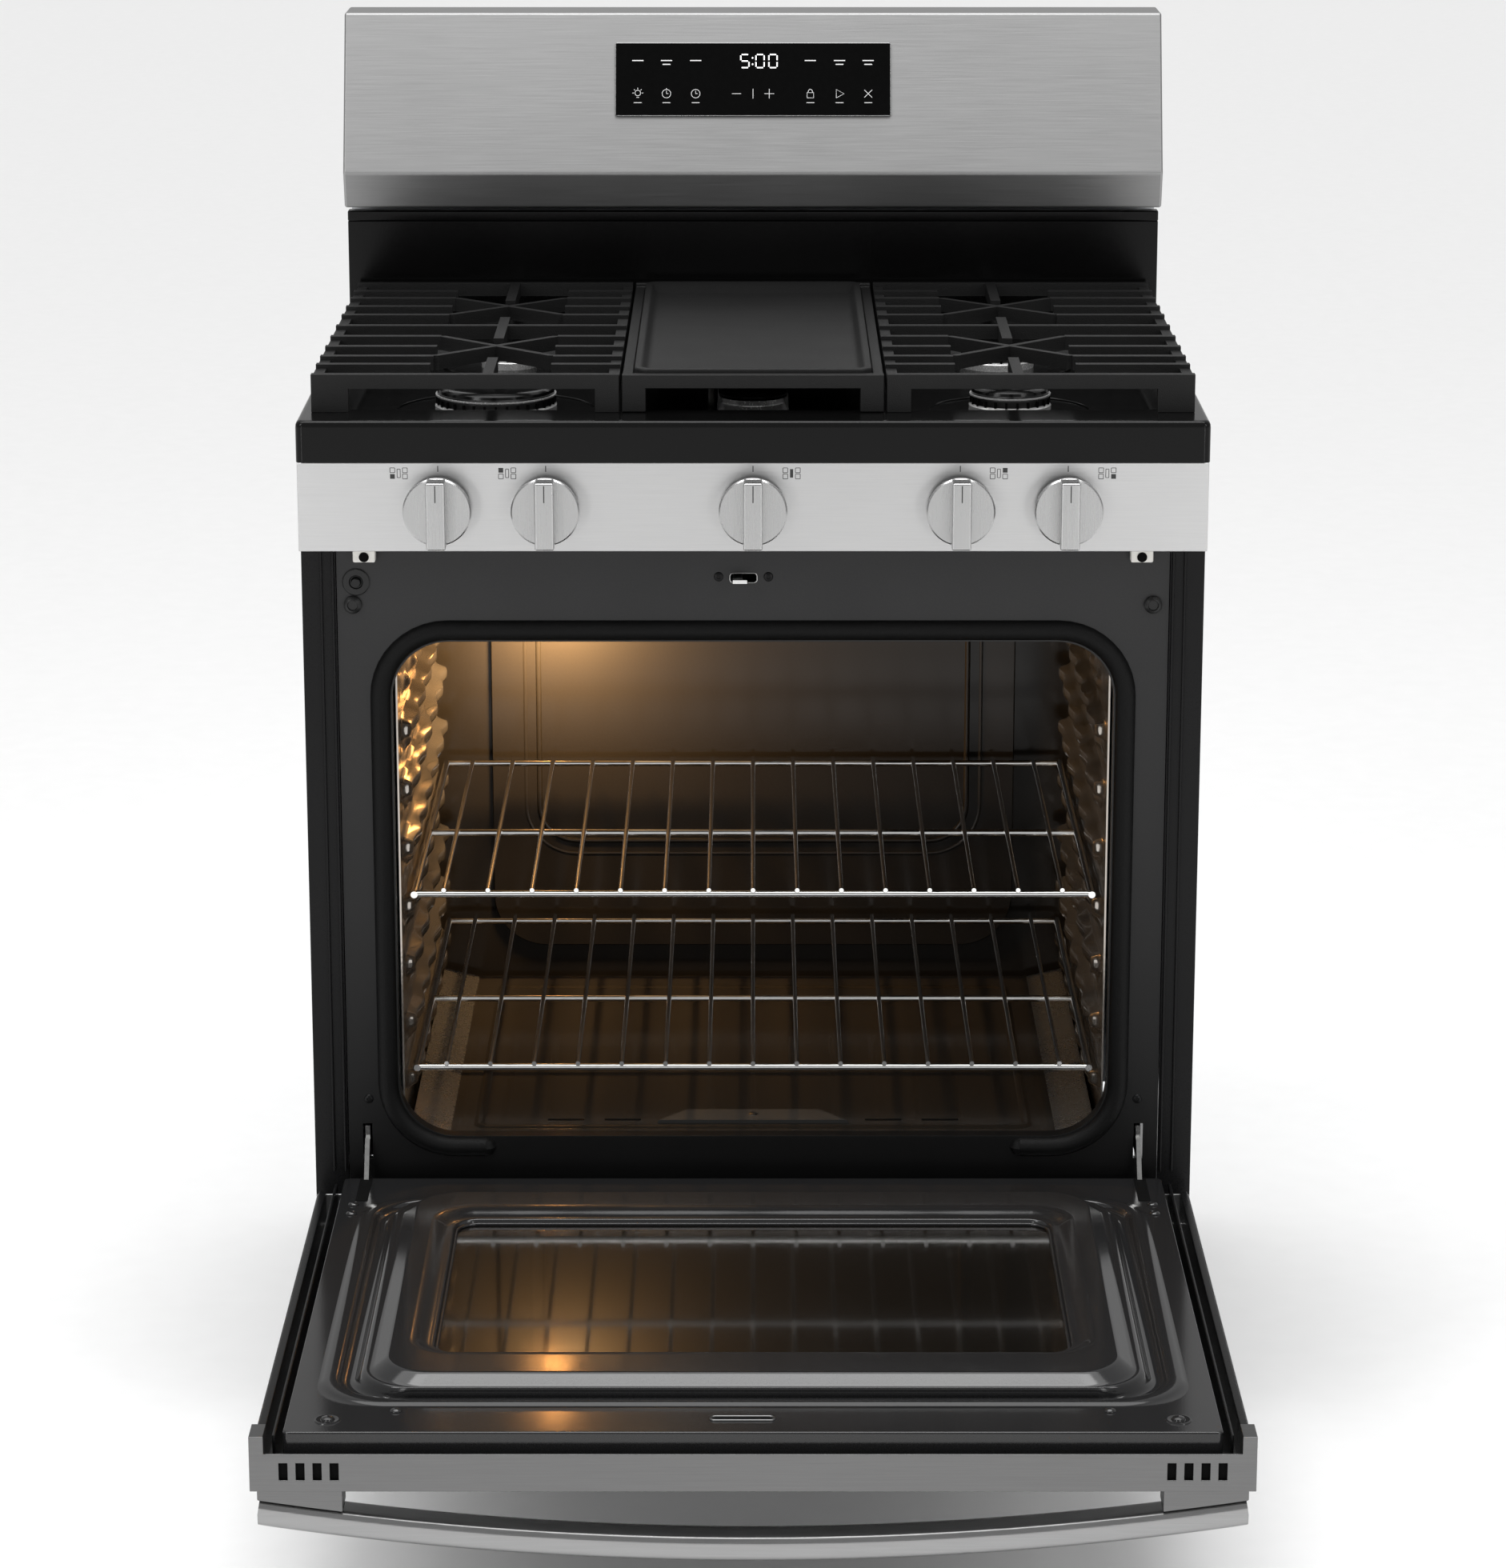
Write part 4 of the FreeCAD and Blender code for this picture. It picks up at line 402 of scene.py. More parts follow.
def blocks(name, spans, body, slot, width=0.001, segments=2, **options):
    """One mesh of several boxes with rounded edges, each given by two corners."""
    work = bmesh.new()
    for low, high in spans:
        add_block(work, low, high)
    bevel(work, width, segments)
    return piece(name, mesh_of(name, work), body, slot, **options)


def tube(name, routes, radius, body, slot, cyclic=False, steps=6, **options):
    """Round bars along routes of points, as one mesh."""
    curve = bpy.data.curves.new(name, "CURVE")
    curve.dimensions = "3D"
    curve.bevel_depth = radius
    curve.bevel_resolution = steps
    curve.use_fill_caps = True
    for route in routes:
        spline = curve.splines.new("POLY")
        spline.points.add(len(route) - 1)
        for point, place in zip(spline.points, route):
            point.co = (*place, 1)
        spline.use_cyclic_u = cyclic
    holder = bpy.data.objects.new(name + "_curve", curve)
    mesh = bpy.data.meshes.new_from_object(holder)
    bpy.data.objects.remove(holder)
    return piece(name, mesh, body, slot, **options)


# ---------------------------------------------------------------- oven

def bump_between(value, low, high, blend):
    """A smooth step up at low and down at high, each over a blend's width."""
    rise = min(max((value - low) / blend + 0.5, 0), 1)
    fall = min(max((high - value) / blend + 0.5, 0), 1)
    return rise * rise * (3 - 2 * rise) * fall * fall * (3 - 2 * fall)


def embossed_wall(node):
    """A pressed side wall: a row of rounded ledges under each rack's place, broken into pads."""
    low, high = box(node)
    side = -1 if low.x < 0 else 1
    face, thick = (low.x + WALL_SHEET, 1) if side < 0 else (high.x - WALL_SHEET, -1)
    reach = (high.x - low.x) - WALL_SHEET
    lowest = box("oven_rack_lower")[0].z + 0.003
    pitch = (box("oven_rack_upper")[0].z - box("oven_rack_lower")[0].z) / 3
    work = bmesh.new()
    columns, rows = WALL_GRID
    grid = []
    for i in range(columns + 1):
        y = low.y + (high.y - low.y) * i / columns
        line = []
        for k in range(rows + 1):
            z = low.z + (high.z - low.z) * k / rows
            inside = bump_between(y, low.y + 0.026, high.y - 0.026, 0.010)
            pad = 0.70 + 0.30 * math.cos((y - low.y) * 2 * math.pi / WALL_PAD_PITCH)
            push = 0.0
            for level in range(RACK_LEVELS):
                top = lowest + level * pitch - 0.0034
                ledge = bump_between(z, top - 0.0175, top - 0.0030, 0.0058)
                rest = bump_between(z, top + 0.0165, top + 0.0270, 0.0070)
                push = max(push, reach * (0.45 + 0.55 * pad) * ledge,
                           0.0058 * rest * pad ** 4)
            tube_line = low.z + 0.455 + (y - low.y) * 0.02
            push = max(push, 0.009 * bump_between(z, tube_line, tube_line + 0.016, 0.008))
            line.append(work.verts.new((face + thick * push * inside, y, z)))
        grid.append(line)
    for a, b in zip(grid, grid[1:]):
        for k in range(rows):
            work.faces.new((a[k], b[k], b[k + 1], a[k + 1]))
    edge = [line[0] for line in grid] + grid[-1][1:] + [line[-1] for line in grid[-2::-1]] \
        + grid[0][-2:0:-1]
    outer_x = low.x if side < 0 else high.x
    back = [work.verts.new((outer_x, v.co.y, v.co.z)) for v in edge]
    for n in range(len(edge)):
        m = (n + 1) % len(edge)
        work.faces.new((edge[n], edge[m], back[m], back[n]))
    work.faces.new(back)
    # The side walls carry painted warm reflections in their colour.
    piece(node + "_pressing", mesh_of(node, work), BODY_OF[node], SLOT_OF[node],
          material=DETAILS["wall_reflection_enamel"], stands_for=(node,), smooth=60)


def oven():
    """The cavity's lining and what is fixed inside it."""
    for node in ("oven_wall_left", "oven_wall_right"):
        embossed_wall(node)
    softened("oven_back", 0.0055, 5)
    wall_y = box("oven_back")[0].y
    for out, y_off in ((0.0, -0.0006), (0.013, 0.0006)):
        ridge = ring_points((-BACK_RIDGE_HALF - out, BACK_RIDGE_HALF + out),
                            (BACK_RIDGE_LOW - out, BACK_RIDGE_HIGH + out), 0.035 + out,
                            wall_y + 0.0016 + y_off, "xz")
        tube("oven_back_ridge", [ridge], 0.0028, "chassis", "oven_enamel", cyclic=True)
    oven_floor()
    softened("temperature_probe", 0.0008, 2)
    oven_gasket()
    oven_lamp()


def oven_gasket():
    """A round tube about the opening, left open along the middle of its bottom run."""
    low, high = box("oven_gasket")
    radius = GASKET_RADIUS
    y = high.y + 0.0019
    x, z = high.x - radius, (low.z + radius, high.z - radius)
    bottom = z[0] + 0.001
    ring = ring_points((-x, x), z, GASKET_CORNER, y, "xz")
    route = [p for p in ring if not (abs(p.x) < GASKET_OPEN_HALF and p.z < bottom)]
    start = max(range(len(route)), key=lambda n: (route[n - 1] - route[n]).length
                if route[n].z < bottom and route[n - 1].z < bottom else 0)
    route = route[start:] + route[:start]
    first, last = [Vector((math.copysign(GASKET_OPEN_HALF, p.x), y, z[0]))
                   for p in (route[0], route[-1])]
    tube("oven_gasket_tube", [[first, *route, last]], radius, BODY_OF["oven_gasket"],
         "gasket_fibre", stands_for=("oven_gasket",), steps=8)
    ball = [(0.0, -radius), (radius * 0.7, -radius * 0.7), (radius, 0.0),
            (radius * 0.7, radius * 0.7), (0.0002, radius)]
    turned("oven_gasket_ends", [(ball, first), (ball, last)], "chassis", "gasket_fibre")


def oven_lamp():
    """The lamp's glass dome, in its ring."""
    low, high = box("oven_lamp")
    middle = (low + high) / 2
    outer, depth = (high.x - low.x) / 2, high.y - low.y
    arc = [(outer * 0.8 * math.cos(a), depth * (0.3 + 0.7 * math.sin(a)))
           for a in [math.pi / 2 * n / 8 for n in range(8)]]
    profile = [(outer, 0.0), (outer, depth * 0.22), (outer * 0.92, depth * 0.3), *arc,
               (0.0005, depth)]
    turned("oven_lamp_dome", [(profile, (middle.x, high.y, middle.z))], BODY_OF["oven_lamp"],
           "lamp_glass", axis="y", stands_for=("oven_lamp",))


def oven_floor():
    """The bottom plate, with a raised boss at its front made lighter as painted reflection, a
    screw, slots darkened as painted shade and side strips made paler as painted sheen.
    """
    softened("oven_bottom_plate", 0.003, 3)
    low, high = box("oven_bottom_plate")
    z = high.z
    border = [(low.x + inset, high.x - inset, low.y + inset - 0.032, high.y - inset + 0.022,
               radius, z + rise)
              for inset, radius, rise in ((0.052, 0.012, -0.0008), (0.056, 0.010, 0.0016),
                                          (0.060, 0.009, 0.0016), (0.064, 0.008, -0.0008))]
    pressing("oven_floor_border", border, [0.002, 0.002], "chassis", "oven_enamel", smooth=60)
    work = bmesh.new()
    outline = ((-0.085, 0.0), (0.085, 0.0), (0.060, 0.030), (-0.060, 0.030))
    rings = [[work.verts.new((x * scale, low.y + 0.036 + y * scale, z + rise)) for x, y in outline]
             for scale, rise in ((1.0, -0.0006), (0.97, 0.0030))]
    for a in range(len(outline)):
        b = (a + 1) % len(outline)
        work.faces.new((rings[0][a], rings[0][b], rings[1][b], rings[1][a]))
    work.faces.new(rings[1])
    work.faces.new(rings[0])
    bevel(work, 0.0012, 3)
    # The boss is lighter than the floor as painted reflection.
    piece("oven_floor_boss", mesh_of("boss", work), "chassis", "oven_enamel",
          material=DETAILS["boss_reflection_enamel"])
    turned("oven_floor_screw", [(FLOOR_SCREW, (0, low.y + 0.052, z + 0.0026))],
           "chassis", "oven_enamel", material=DETAILS["hinge_steel"])
    slots = [((side * x - 0.016, low.y + 0.043, z - 0.0005),
              (side * x + 0.016, low.y + 0.047, z + 0.0004)) for side in SIDES
             for x in (0.115, 0.165)]
    # Painted shade: the slots are near-black blocks, not openings.
    blocks("oven_floor_slots", slots, "chassis", "oven_enamel", 0.0002,
           material=DETAILS["hole_shade"])
    work = bmesh.new()
    for edge, inner in ((low.x, low.x + 0.034), (high.x, high.x - 0.034)):
        made = add_block(work, (min(edge, inner), low.y + 0.004, z - 0.0005),
                         (max(edge, inner), high.y - 0.004, z + 0.0010))
        for vert in made:
            if abs(vert.co.x - edge) < 0.001 and vert.co.z > z:
                vert.co.z = z + 0.009
    bevel(work, 0.0010, 2)
    # The side strips are paler than the floor as painted sheen.
    piece("oven_floor_strips", mesh_of("strips", work), "chassis", "oven_enamel",
          material=DETAILS["strip_sheen_enamel"])


def front_frame_details():
    """Bumpers, the lamp button's bezel, the latch slot's rim, clips and screws on the frame."""
    softened("oven_front_frame", 0.0006, 2)
    face = box("oven_front_frame")[0].y
    turned("door_bumpers", [(BUMPER, (side * BUMPER_AT[0], face, BUMPER_AT[1])) for side in SIDES],
           "chassis", "black_plastic", axis="y", material=DETAILS["rubber"])
    low, high = box("lamp_switch")
    turned("lamp_button_bezel",
           [(BUTTON_BEZEL, ((low.x + high.x) / 2, face, (low.z + high.z) / 2))],
           "chassis", "frame_enamel", axis="y", material=DETAILS["rubber"])
    softened("lamp_switch", 0.001, 3)
    low, high = box("door_latch")
    z = (low.z + high.z - 0.006) / 2
    tube("latch_slot_rim", [ring_points((-0.0195, 0.0035), (z - 0.0042, z + 0.0042), 0.003,
                                        face - 0.0003, "xz")], 0.0006, "chassis",
         "stainless_rod", cyclic=True, material=DETAILS["hinge_steel"])
    softened("door_latch", 0.0006, 2)
    low, high = box("frame_screws")
    radius = SCREW_HEAD[0][0]
    places = [(side * 0.3335, low.z + radius) for side in SIDES]
    places += [(x, high.z - radius) for x in (-0.029, 0.013)]
    places += [(side * 0.331, 0.229) for side in SIDES]
    turned("frame_screw_heads", [(SCREW_HEAD, (x, face, height)) for x, height in places],
           "chassis", "side_enamel", axis="y", stands_for=("frame_screws",))
    clip_z = box("control_panel")[0].z
    clips = [((side * CLIP_X - 0.0095, face - 0.012, clip_z - 0.0165),
              (side * CLIP_X + 0.0095, face - 0.0005, clip_z - 0.0006)) for side in SIDES]
    blocks("panel_clips", clips, "chassis", "ceramic", 0.0015)
    # Painted shade: the clips' holes are near-black discs.
    turned("panel_clip_eyes", [(CLIP_EYE, (side * CLIP_X, face - 0.012, clip_z - 0.0117))
                               for side in SIDES],
           "chassis", "ceramic", axis="y", material=DETAILS["hole_shade"])
    strips = []
    for side in SIDES:
        for x0, x1, proud in ((0.3535, 0.3555, 0.004), (0.3635, 0.3655, 0.003)):
            x = sorted((side * x0, side * x1))
            strips.append(((x[0], face - proud, 0.245), (x[1], face, 0.803)))
    blocks("frame_side_beads", strips, "chassis", "side_enamel", 0.0008)


# ---------------------------------------------------------------- oven door

def door():
    """The pressed lining with its window, the panes, the skin, the end cap and the hinge arms."""
    low, high = box("door_inner_panel")
    flat = high.z - DOOR_PLATEAU_HEIGHT
    door_lining(low, high, flat)
    blocks("door_front_glass", [box("door_outer_glass")], "door", "display_glass", 0.0005,
           stands_for=("door_outer_glass",))
    softened("door_outer_panel", 0.0006, 2)
    # The end cap and the handle posts carry painted shade, darker than the stainless.
    softened("door_end_cap", 0.0005, 2, material=DETAILS["door_steel_shaded"])
    softened("handle_posts", 0.0012, 3, material=DETAILS["door_steel_shaded"])
    softened("hinge_arms", 0.0008, 2, material=DETAILS["hinge_steel"])
    cap_low, _ = box("door_end_cap")
    backs = [sorted((side * 0.300, side * 0.3590)) for side in SIDES]
    # Painted shade: thin near-black sheets behind the end cap, near its ends.
    blocks("end_cap_shade", [((x0, cap_low.y + 0.0030, cap_low.z + 0.005),
                                (x1, cap_low.y + 0.0050, cap_low.z + 0.028)) for x0, x1 in backs],
           "door", "door_enamel", 0.0003, material=DETAILS["hole_shade"])
    door_fittings(high, flat)


def door_lining(low, high, flat):
    """The pressed pan from its skirt up over two ribs to the plateau and down to the window."""
    x, y0, y1 = high.x, low.y, high.y
    glass_z = box("door_inner_glass")[1].z
    px, wx = 0.295, 0.25
    near, far = DOOR_PIVOT_Y - 0.0605, DOOR_PIVOT_Y - 0.4895
    w_near, w_far = DOOR_PIVOT_Y - 0.1185, DOOR_PIVOT_Y - 0.4215
    step_near, step_far = DOOR_PIVOT_Y - 0.045, DOOR_PIVOT_Y - 0.503
    stations = [
        (-x, x, y0, y1, 0.004, low.z + 0.02), (-x, x, y0, y1, 0.004, flat),
        (-0.3345, 0.3345, step_far - 0.007, step_near + 0.007, 0.052, flat),
        (-0.3300, 0.3300, step_far - 0.0025, step_near + 0.0025, 0.050, flat + 0.0024),
        (-0.3210, 0.3210, step_far + 0.006, step_near - 0.004, 0.045, flat + 0.0024),
        (-0.3170, 0.3170, step_far + 0.010, step_near - 0.006, 0.043, flat - 0.0025),
        (-0.3080, 0.3080, step_far + 0.012, step_near - 0.010, 0.042, flat - 0.0025),
        (-0.3020, 0.3020, far - 0.002, near + 0.002, 0.042, flat + 0.008),
        (-px, px, far, near, 0.040, flat + 0.008),
        (-px + 0.012, px - 0.012, far + 0.010, near - 0.006, 0.036, high.z),
        (-wx - 0.016, wx + 0.016, w_far - 0.014, w_near + 0.014, 0.034, high.z),
        (-wx - 0.006, wx + 0.006, w_far - 0.005, w_near + 0.005, 0.026, high.z - 0.006),
        (-wx, wx, w_far, w_near, 0.020, high.z - 0.006),
        (-wx + 0.001, wx - 0.001, w_far + 0.001, w_near - 0.001, 0.020, glass_z + 0.0005),
    ]
    radii = [0.002] + [0.004] * 6 + [0.003, 0.003, 0.008, 0.006, 0.003, 0.002]
    pressing("door_lining", stations, radii, "door", "door_enamel",
             stands_for=("door_inner_panel",), smooth=50)
    blocks("door_window_pane", [box("door_inner_glass")], "door", "door_glass", 0.0005,
           stands_for=("door_inner_glass",))
    bead = ring_points((-wx + 0.002, wx - 0.002), (w_far + 0.002, w_near - 0.002), 0.019,
                       glass_z + 0.0012)
    tube("door_window_bead", [bead], 0.0014, "door", "door_enamel", cyclic=True)


def door_fittings(high, flat):
    """Screws, the lock finger's slot, the rails along the sides and the hinge slots."""
    spots = [(DIMPLE, (side * 0.322, -0.556, flat)) for side in SIDES]
    spots += [(DOME_HEAD, (side * 0.2715, -0.5385, flat)) for side in SIDES]
    spots += [(DOME_HEAD, (side * 0.341, y, flat)) for side in SIDES for y in (-0.075, -0.098)]
    turned("door_screws", spots, "door", "door_enamel")
    rim = ring_points((-0.032, 0.016), (DOOR_SLOT_Y - 0.004, DOOR_SLOT_Y + 0.004), 0.0035,
                      flat + 0.0004)
    # The slot rim carries painted shade, darker than the stainless.
    tube("door_latch_slot_rim", [rim], 0.0011, "door", "door_enamel", cyclic=True,
         material=DETAILS["door_steel_shaded"])
    # Painted shade: the slot is a near-black block, not an opening.
    blocks("door_latch_slot_dark", [((-0.030, DOOR_SLOT_Y - 0.003, flat - 0.0004),
                                     (0.014, DOOR_SLOT_Y + 0.003, flat + 0.0002))],
           "door", "door_enamel", 0.0001, material=DETAILS["hole_shade"])
    rails = []
    for side in SIDES:
        for x0, x1, top in ((0.3705, 0.3765, 0.2335), (0.3600, 0.3625, 0.2405)):
            x = sorted((side * x0, side * x1))
            rails.append(((x[0], -0.575, 0.2045), (x[1], -0.0075, top)))
    blocks("door_side_rails", rails, "door", "side_enamel", 0.0008)
    notches = [((side * HINGE_X - 0.0052, -0.066, flat + 0.0001),
                (side * HINGE_X + 0.0052, high.y - 0.001, flat + 0.0005)) for side in SIDES]
    # Painted shade: the hinge slots are near-black strips, not openings.
    blocks("door_hinge_slots", notches, "door", "door_enamel", 0.0001,
           material=DETAILS["hole_shade"])


def door_handle():
    """The bowed bar, with a broad front face and round edges."""
    low, high = box("door_handle")
    half, thick = high.x, HANDLE_THICKNESS
    sagitta = high.z - low.z - thick
    radius = (half * half + sagitta * sagitta) / (2 * sagitta)
    centre_z = low.z + thick / 2 + radius
    y_mid, y_half = (low.y + high.y) / 2, (high.y - low.y) / 2
    sides, stops = HANDLE_GRID
    section = []
    for n in range(sides):
        turn = 2 * math.pi * n / sides
        c, s = math.cos(turn), math.sin(turn)
        section.append((y_half * math.copysign(abs(c) ** 0.55, c),
                        thick / 2 * math.copysign(abs(s) ** 0.62, s)))
    work = bmesh.new()
    rings = []
    span = math.asin(half / radius)
    for n in range(stops + 1):
        turn = -span + 2 * span * n / stops
        ring = []
        for across, out in section:
            reach = radius - out
            ring.append(work.verts.new((max(-half, min(half, reach * math.sin(turn))),
                                        y_mid + across, centre_z - reach * math.cos(turn))))
        rings.append(ring)
    for near, far in zip(rings, rings[1:]):
        for a in range(sides):
            b = (a + 1) % sides
            work.faces.new((near[a], near[b], far[b], far[a]))
    for ring in (rings[0], rings[-1]):
        work.faces.new(ring)
    piece("door_handle_bar", mesh_of("handle", work), "door", "stainless",
          material=DETAILS["handle_steel"], stands_for=("door_handle",), smooth=50)


# ---------------------------------------------------------------- cooktop

def cooktop():
    """The enamelled top with its rolled rim and its basin."""
    low, high = box("cooktop")
    x, y0, y1, top = high.x, low.y, high.y, high.z
    floor = top - BASIN_DROP
    basin = (0.345, y0 + 0.065, y0 + 0.535)
    stations = [
        (-x, x, y0, y1, 0.006, low.z), (-x, x, y0, y1, 0.006, top),
        (-x + 0.012, x - 0.012, y0 + 0.010, y1 - 0.004, 0.008, top),
        (-basin[0] - 0.004, basin[0] + 0.004, basin[1] - 0.006, basin[2] + 0.006, 0.03, top),
        (-basin[0] + 0.004, basin[0] - 0.004, basin[1] + 0.004, basin[2] - 0.004, 0.03, floor),
        (-0.30, 0.30, basin[1] + 0.05, basin[2] - 0.05, 0.03, floor),
    ]
    pressing("cooktop_pressing", stations, [0.006, 0.002, 0.008, 0.010], "chassis",
             "cooktop_enamel", fill=True, stands_for=("cooktop",), smooth=50)


def oval_ring(out, z):
    """A station of a pressing: the long burner's outline, grown by so much, at a height."""
    x0, x1, y0, y1 = OVAL_BURNER
    return (x0 - out, x1 + out, y0 - out, y1 + out, x1 + out - 1e-4, z)


def burners():
    """Cast heads with flame slots, and enamelled caps with round edges."""
    low, high = box("burner_heads")
    cap_low, cap_high = box("burner_caps")
    well_z = box("cooktop")[1].z - BASIN_DROP + 0.0002
    heads, caps, bands, wells = [], [], [], []
    for x, y, radius in BURNERS:
        heads.append(([(radius, 0.0), (radius, 0.0060), (radius - 0.0015, 0.0075),
                       (radius - 0.0030, 0.0078), (radius - 0.0030, 0.0140),
                       (radius - 0.0005, 0.0148), (radius - 0.0005, 0.0160)], (x, y, low.z)))
        bands.append(([(radius - 0.0026, 0.0076), (radius - 0.0022, 0.0082),
                       (radius - 0.0022, 0.0136), (radius - 0.0026, 0.0142)], (x, y, low.z)))
        well = radius + 0.034
        wells.append([(x + well * math.cos(turn), y + well * math.sin(turn), well_z)
                      for turn in [2 * math.pi * n / 72 for n in range(72)]])
        rim = radius - 0.003
        caps.append(([(rim, 0.0), (rim + 0.001, 0.0018), (rim, 0.0042), (rim - 0.003, 0.0058),
                      (rim - 0.008, 0.0066), (0.0005, 0.0070)], (x, y, cap_low.z)))
    turned("burner_head_castings", heads, "chassis", "burner_aluminium",
           stands_for=("burner_heads",))
    turned("burner_cap_discs", caps, "chassis", "cooktop_enamel", stands_for=("burner_caps",))
    # Painted shade: the recessed flame bands are darkened.
    turned("burner_flame_bands", bands, "chassis", "burner_aluminium",
           material=DETAILS["side_shade"])
    tube("burner_wells", wells, 0.0012, "chassis", "cooktop_enamel", cyclic=True, steps=3)
    slots = bmesh.new()
    for x, y, radius in BURNERS:
        count = max(16, int(radius * 640))
        for n in range(count):
            turn = Matrix.Rotation(2 * math.pi * n / count, 3, "Z")
            add_block(slots, (x + radius - 0.0035, y - 0.0009, low.z + 0.0075),
                      (x + radius - 0.0008, y + 0.0009, low.z + 0.0125), turn, Vector((x, y, 0)))
    # Painted shade: the flame slots are near-black blocks, not openings.
    piece("burner_flame_slots", mesh_of("slots", slots), "chassis", "burner_aluminium",
          material=DETAILS["hole_shade"])
    head = [oval_ring(0, low.z), oval_ring(-0.0005, low.z + 0.004),
            oval_ring(-0.004, low.z + 0.011), oval_ring(-0.004, high.z)]
    pressing("oval_burner_head", head, [0.001] * 2, "chassis", "burner_aluminium", fill=True)
    cap = [oval_ring(-0.002, cap_low.z), oval_ring(-0.001, cap_low.z + 0.003),
           oval_ring(-0.006, cap_high.z), oval_ring(-0.024, cap_high.z)]
    pressing("oval_burner_cap", cap, [0.001, 0.003], "chassis", "cooktop_enamel", fill=True)
    softened("igniters", 0.0008, 2)


def grates():
    """The cast grates, and the griddle with its rim and its sloped rear edge."""
    for node in ("grate_left", "grate_right", "grate_centre"):
        softened(node, 0.0018, 3)
    low, high = box("griddle")
    x, y0, y1 = high.x, low.y, high.y
    stations = [
        (-x + 0.004, x - 0.004, y0 + 0.004, y1 - 0.004, 0.010, low.z),
        (-x, x, y0, y1, 0.012, low.z + 0.004), (-x, x, y0, y1, 0.012, high.z),
        (-x + 0.006, x - 0.006, y0 + 0.006, y1 - 0.006, 0.010, high.z),
        (-x + 0.011, x - 0.011, y0 + 0.012, y1 - 0.030, 0.008, low.z + 0.005),
        (-x + 0.05, x - 0.05, y0 + 0.05, y1 - 0.07, 0.008, low.z + 0.005),
    ]
    pressing("griddle_casting", stations, [0.002, 0.002, 0.002, 0.004], "griddle", "cast_iron",
             fill=True, stands_for=("griddle",), smooth=50)


# ---------------------------------------------------------------- control panel

def knobs():
    """Satin discs with a straight grip across, a line on the grip and a side wall darkened with
    painted shade.
    """
    for number in range(1, 6):
        low, high = box(f"knob_{number}")
        centre = (low + high) / 2
        radius = (high.x - low.x) / 2
        face = low.y + 0.020
        body = f"knob_{number}"
        profile = [(radius * 0.93, 0.0), (radius * 0.97, 0.012), (radius, 0.0150),
                   (radius, 0.0168), (radius - 0.0012, 0.018), (0.0005, 0.018)]
        turned(body + "_disc", [(profile, (centre.x, high.y, centre.z))], body, "knob_metal",
               axis="y", stands_for=(f"knob_{number}",), smooth=25)
        work = bmesh.new()
        add_block(work, (centre.x - 0.008, low.y, low.z + 0.0003),
                  (centre.x + 0.008, face + 0.0005, high.z - 0.0003))
        bevel(work, 0.0016, 3)
        piece(body + "_grip", mesh_of("grip", work), body, "knob_metal")
        blocks(body + "_line", [((centre.x - 0.0005, low.y - 0.00005, centre.z + 0.012),
                                 (centre.x + 0.0005, low.y + 0.0004, high.z - 0.0022))],
               body, "knob_metal", 0.0001, material=DETAILS["black_ink"])
        # Painted shade: the knob's side wall is darkened.
        turned(body + "_skirt", [([(radius * 0.90, 0.0002), (radius * 0.940, 0.0008),
                                   (radius * 0.945, 0.0035)], (centre.x, high.y, centre.z))],
               body, "knob_metal", axis="y", material=DETAILS["side_shade"])


def burner_icons():
    """Beside each knob, a plan of the five burners with its own one filled in."""
    face = box("control_panel")[0].y
    front, back = face - 0.00015, face + 0.0002
    solid, hollow, ticks = [], [], []
    for number, (x, own) in BURNER_PLANS.items():
        low, high = box(f"knob_{number}")
        knob_x = (low.x + high.x) / 2
        ticks.append(((knob_x - 0.0004, front, high.z + 0.0015),
                      (knob_x + 0.0004, back, high.z + 0.0065)))
        for spot in ((-1, -1), (-1, 1), (1, -1), (1, 1), (0, 0)):
            cx, cz = x + spot[0] * 0.0052, BURNER_PLAN_Z + spot[1] * 0.0026
            w, h = (0.0020, 0.0020) if spot[0] else (0.0013, 0.0036)
            if spot == own:
                solid.append(((cx - w, front, cz - h), (cx + w, back, cz + h)))
            else:
                hollow.append(ring_points((cx - w, cx + w), (cz - h, cz + h), 0.0004,
                                          face - 0.00005, "xz"))
    blocks("burner_icon_fills", solid, "chassis", "stainless", 0.00005,
           material=DETAILS["black_ink"])
    blocks("knob_ticks", ticks, "chassis", "stainless", 0.00005, material=DETAILS["black_ink"])
    tube("burner_icon_outlines", hollow, 0.00026, "chassis", "stainless", cyclic=True, steps=2,
         material=DETAILS["black_ink"])


def console():
    """The fascia, the leaning backguard with its trim, the riser and the touch display."""
    # The control panel carries painted light, lighter than the stainless.
    softened("control_panel", 0.0012, 3, material=DETAILS["panel_steel_lit"])
    # The console shell carries painted shade, darker than the stainless.
    softened("console_shell", 0.0022, 3, material=DETAILS["console_steel_shaded"])
    softened("vent_trim", 0.0015, 3)
    softened("riser_panel", 0.0008, 2)
    display()


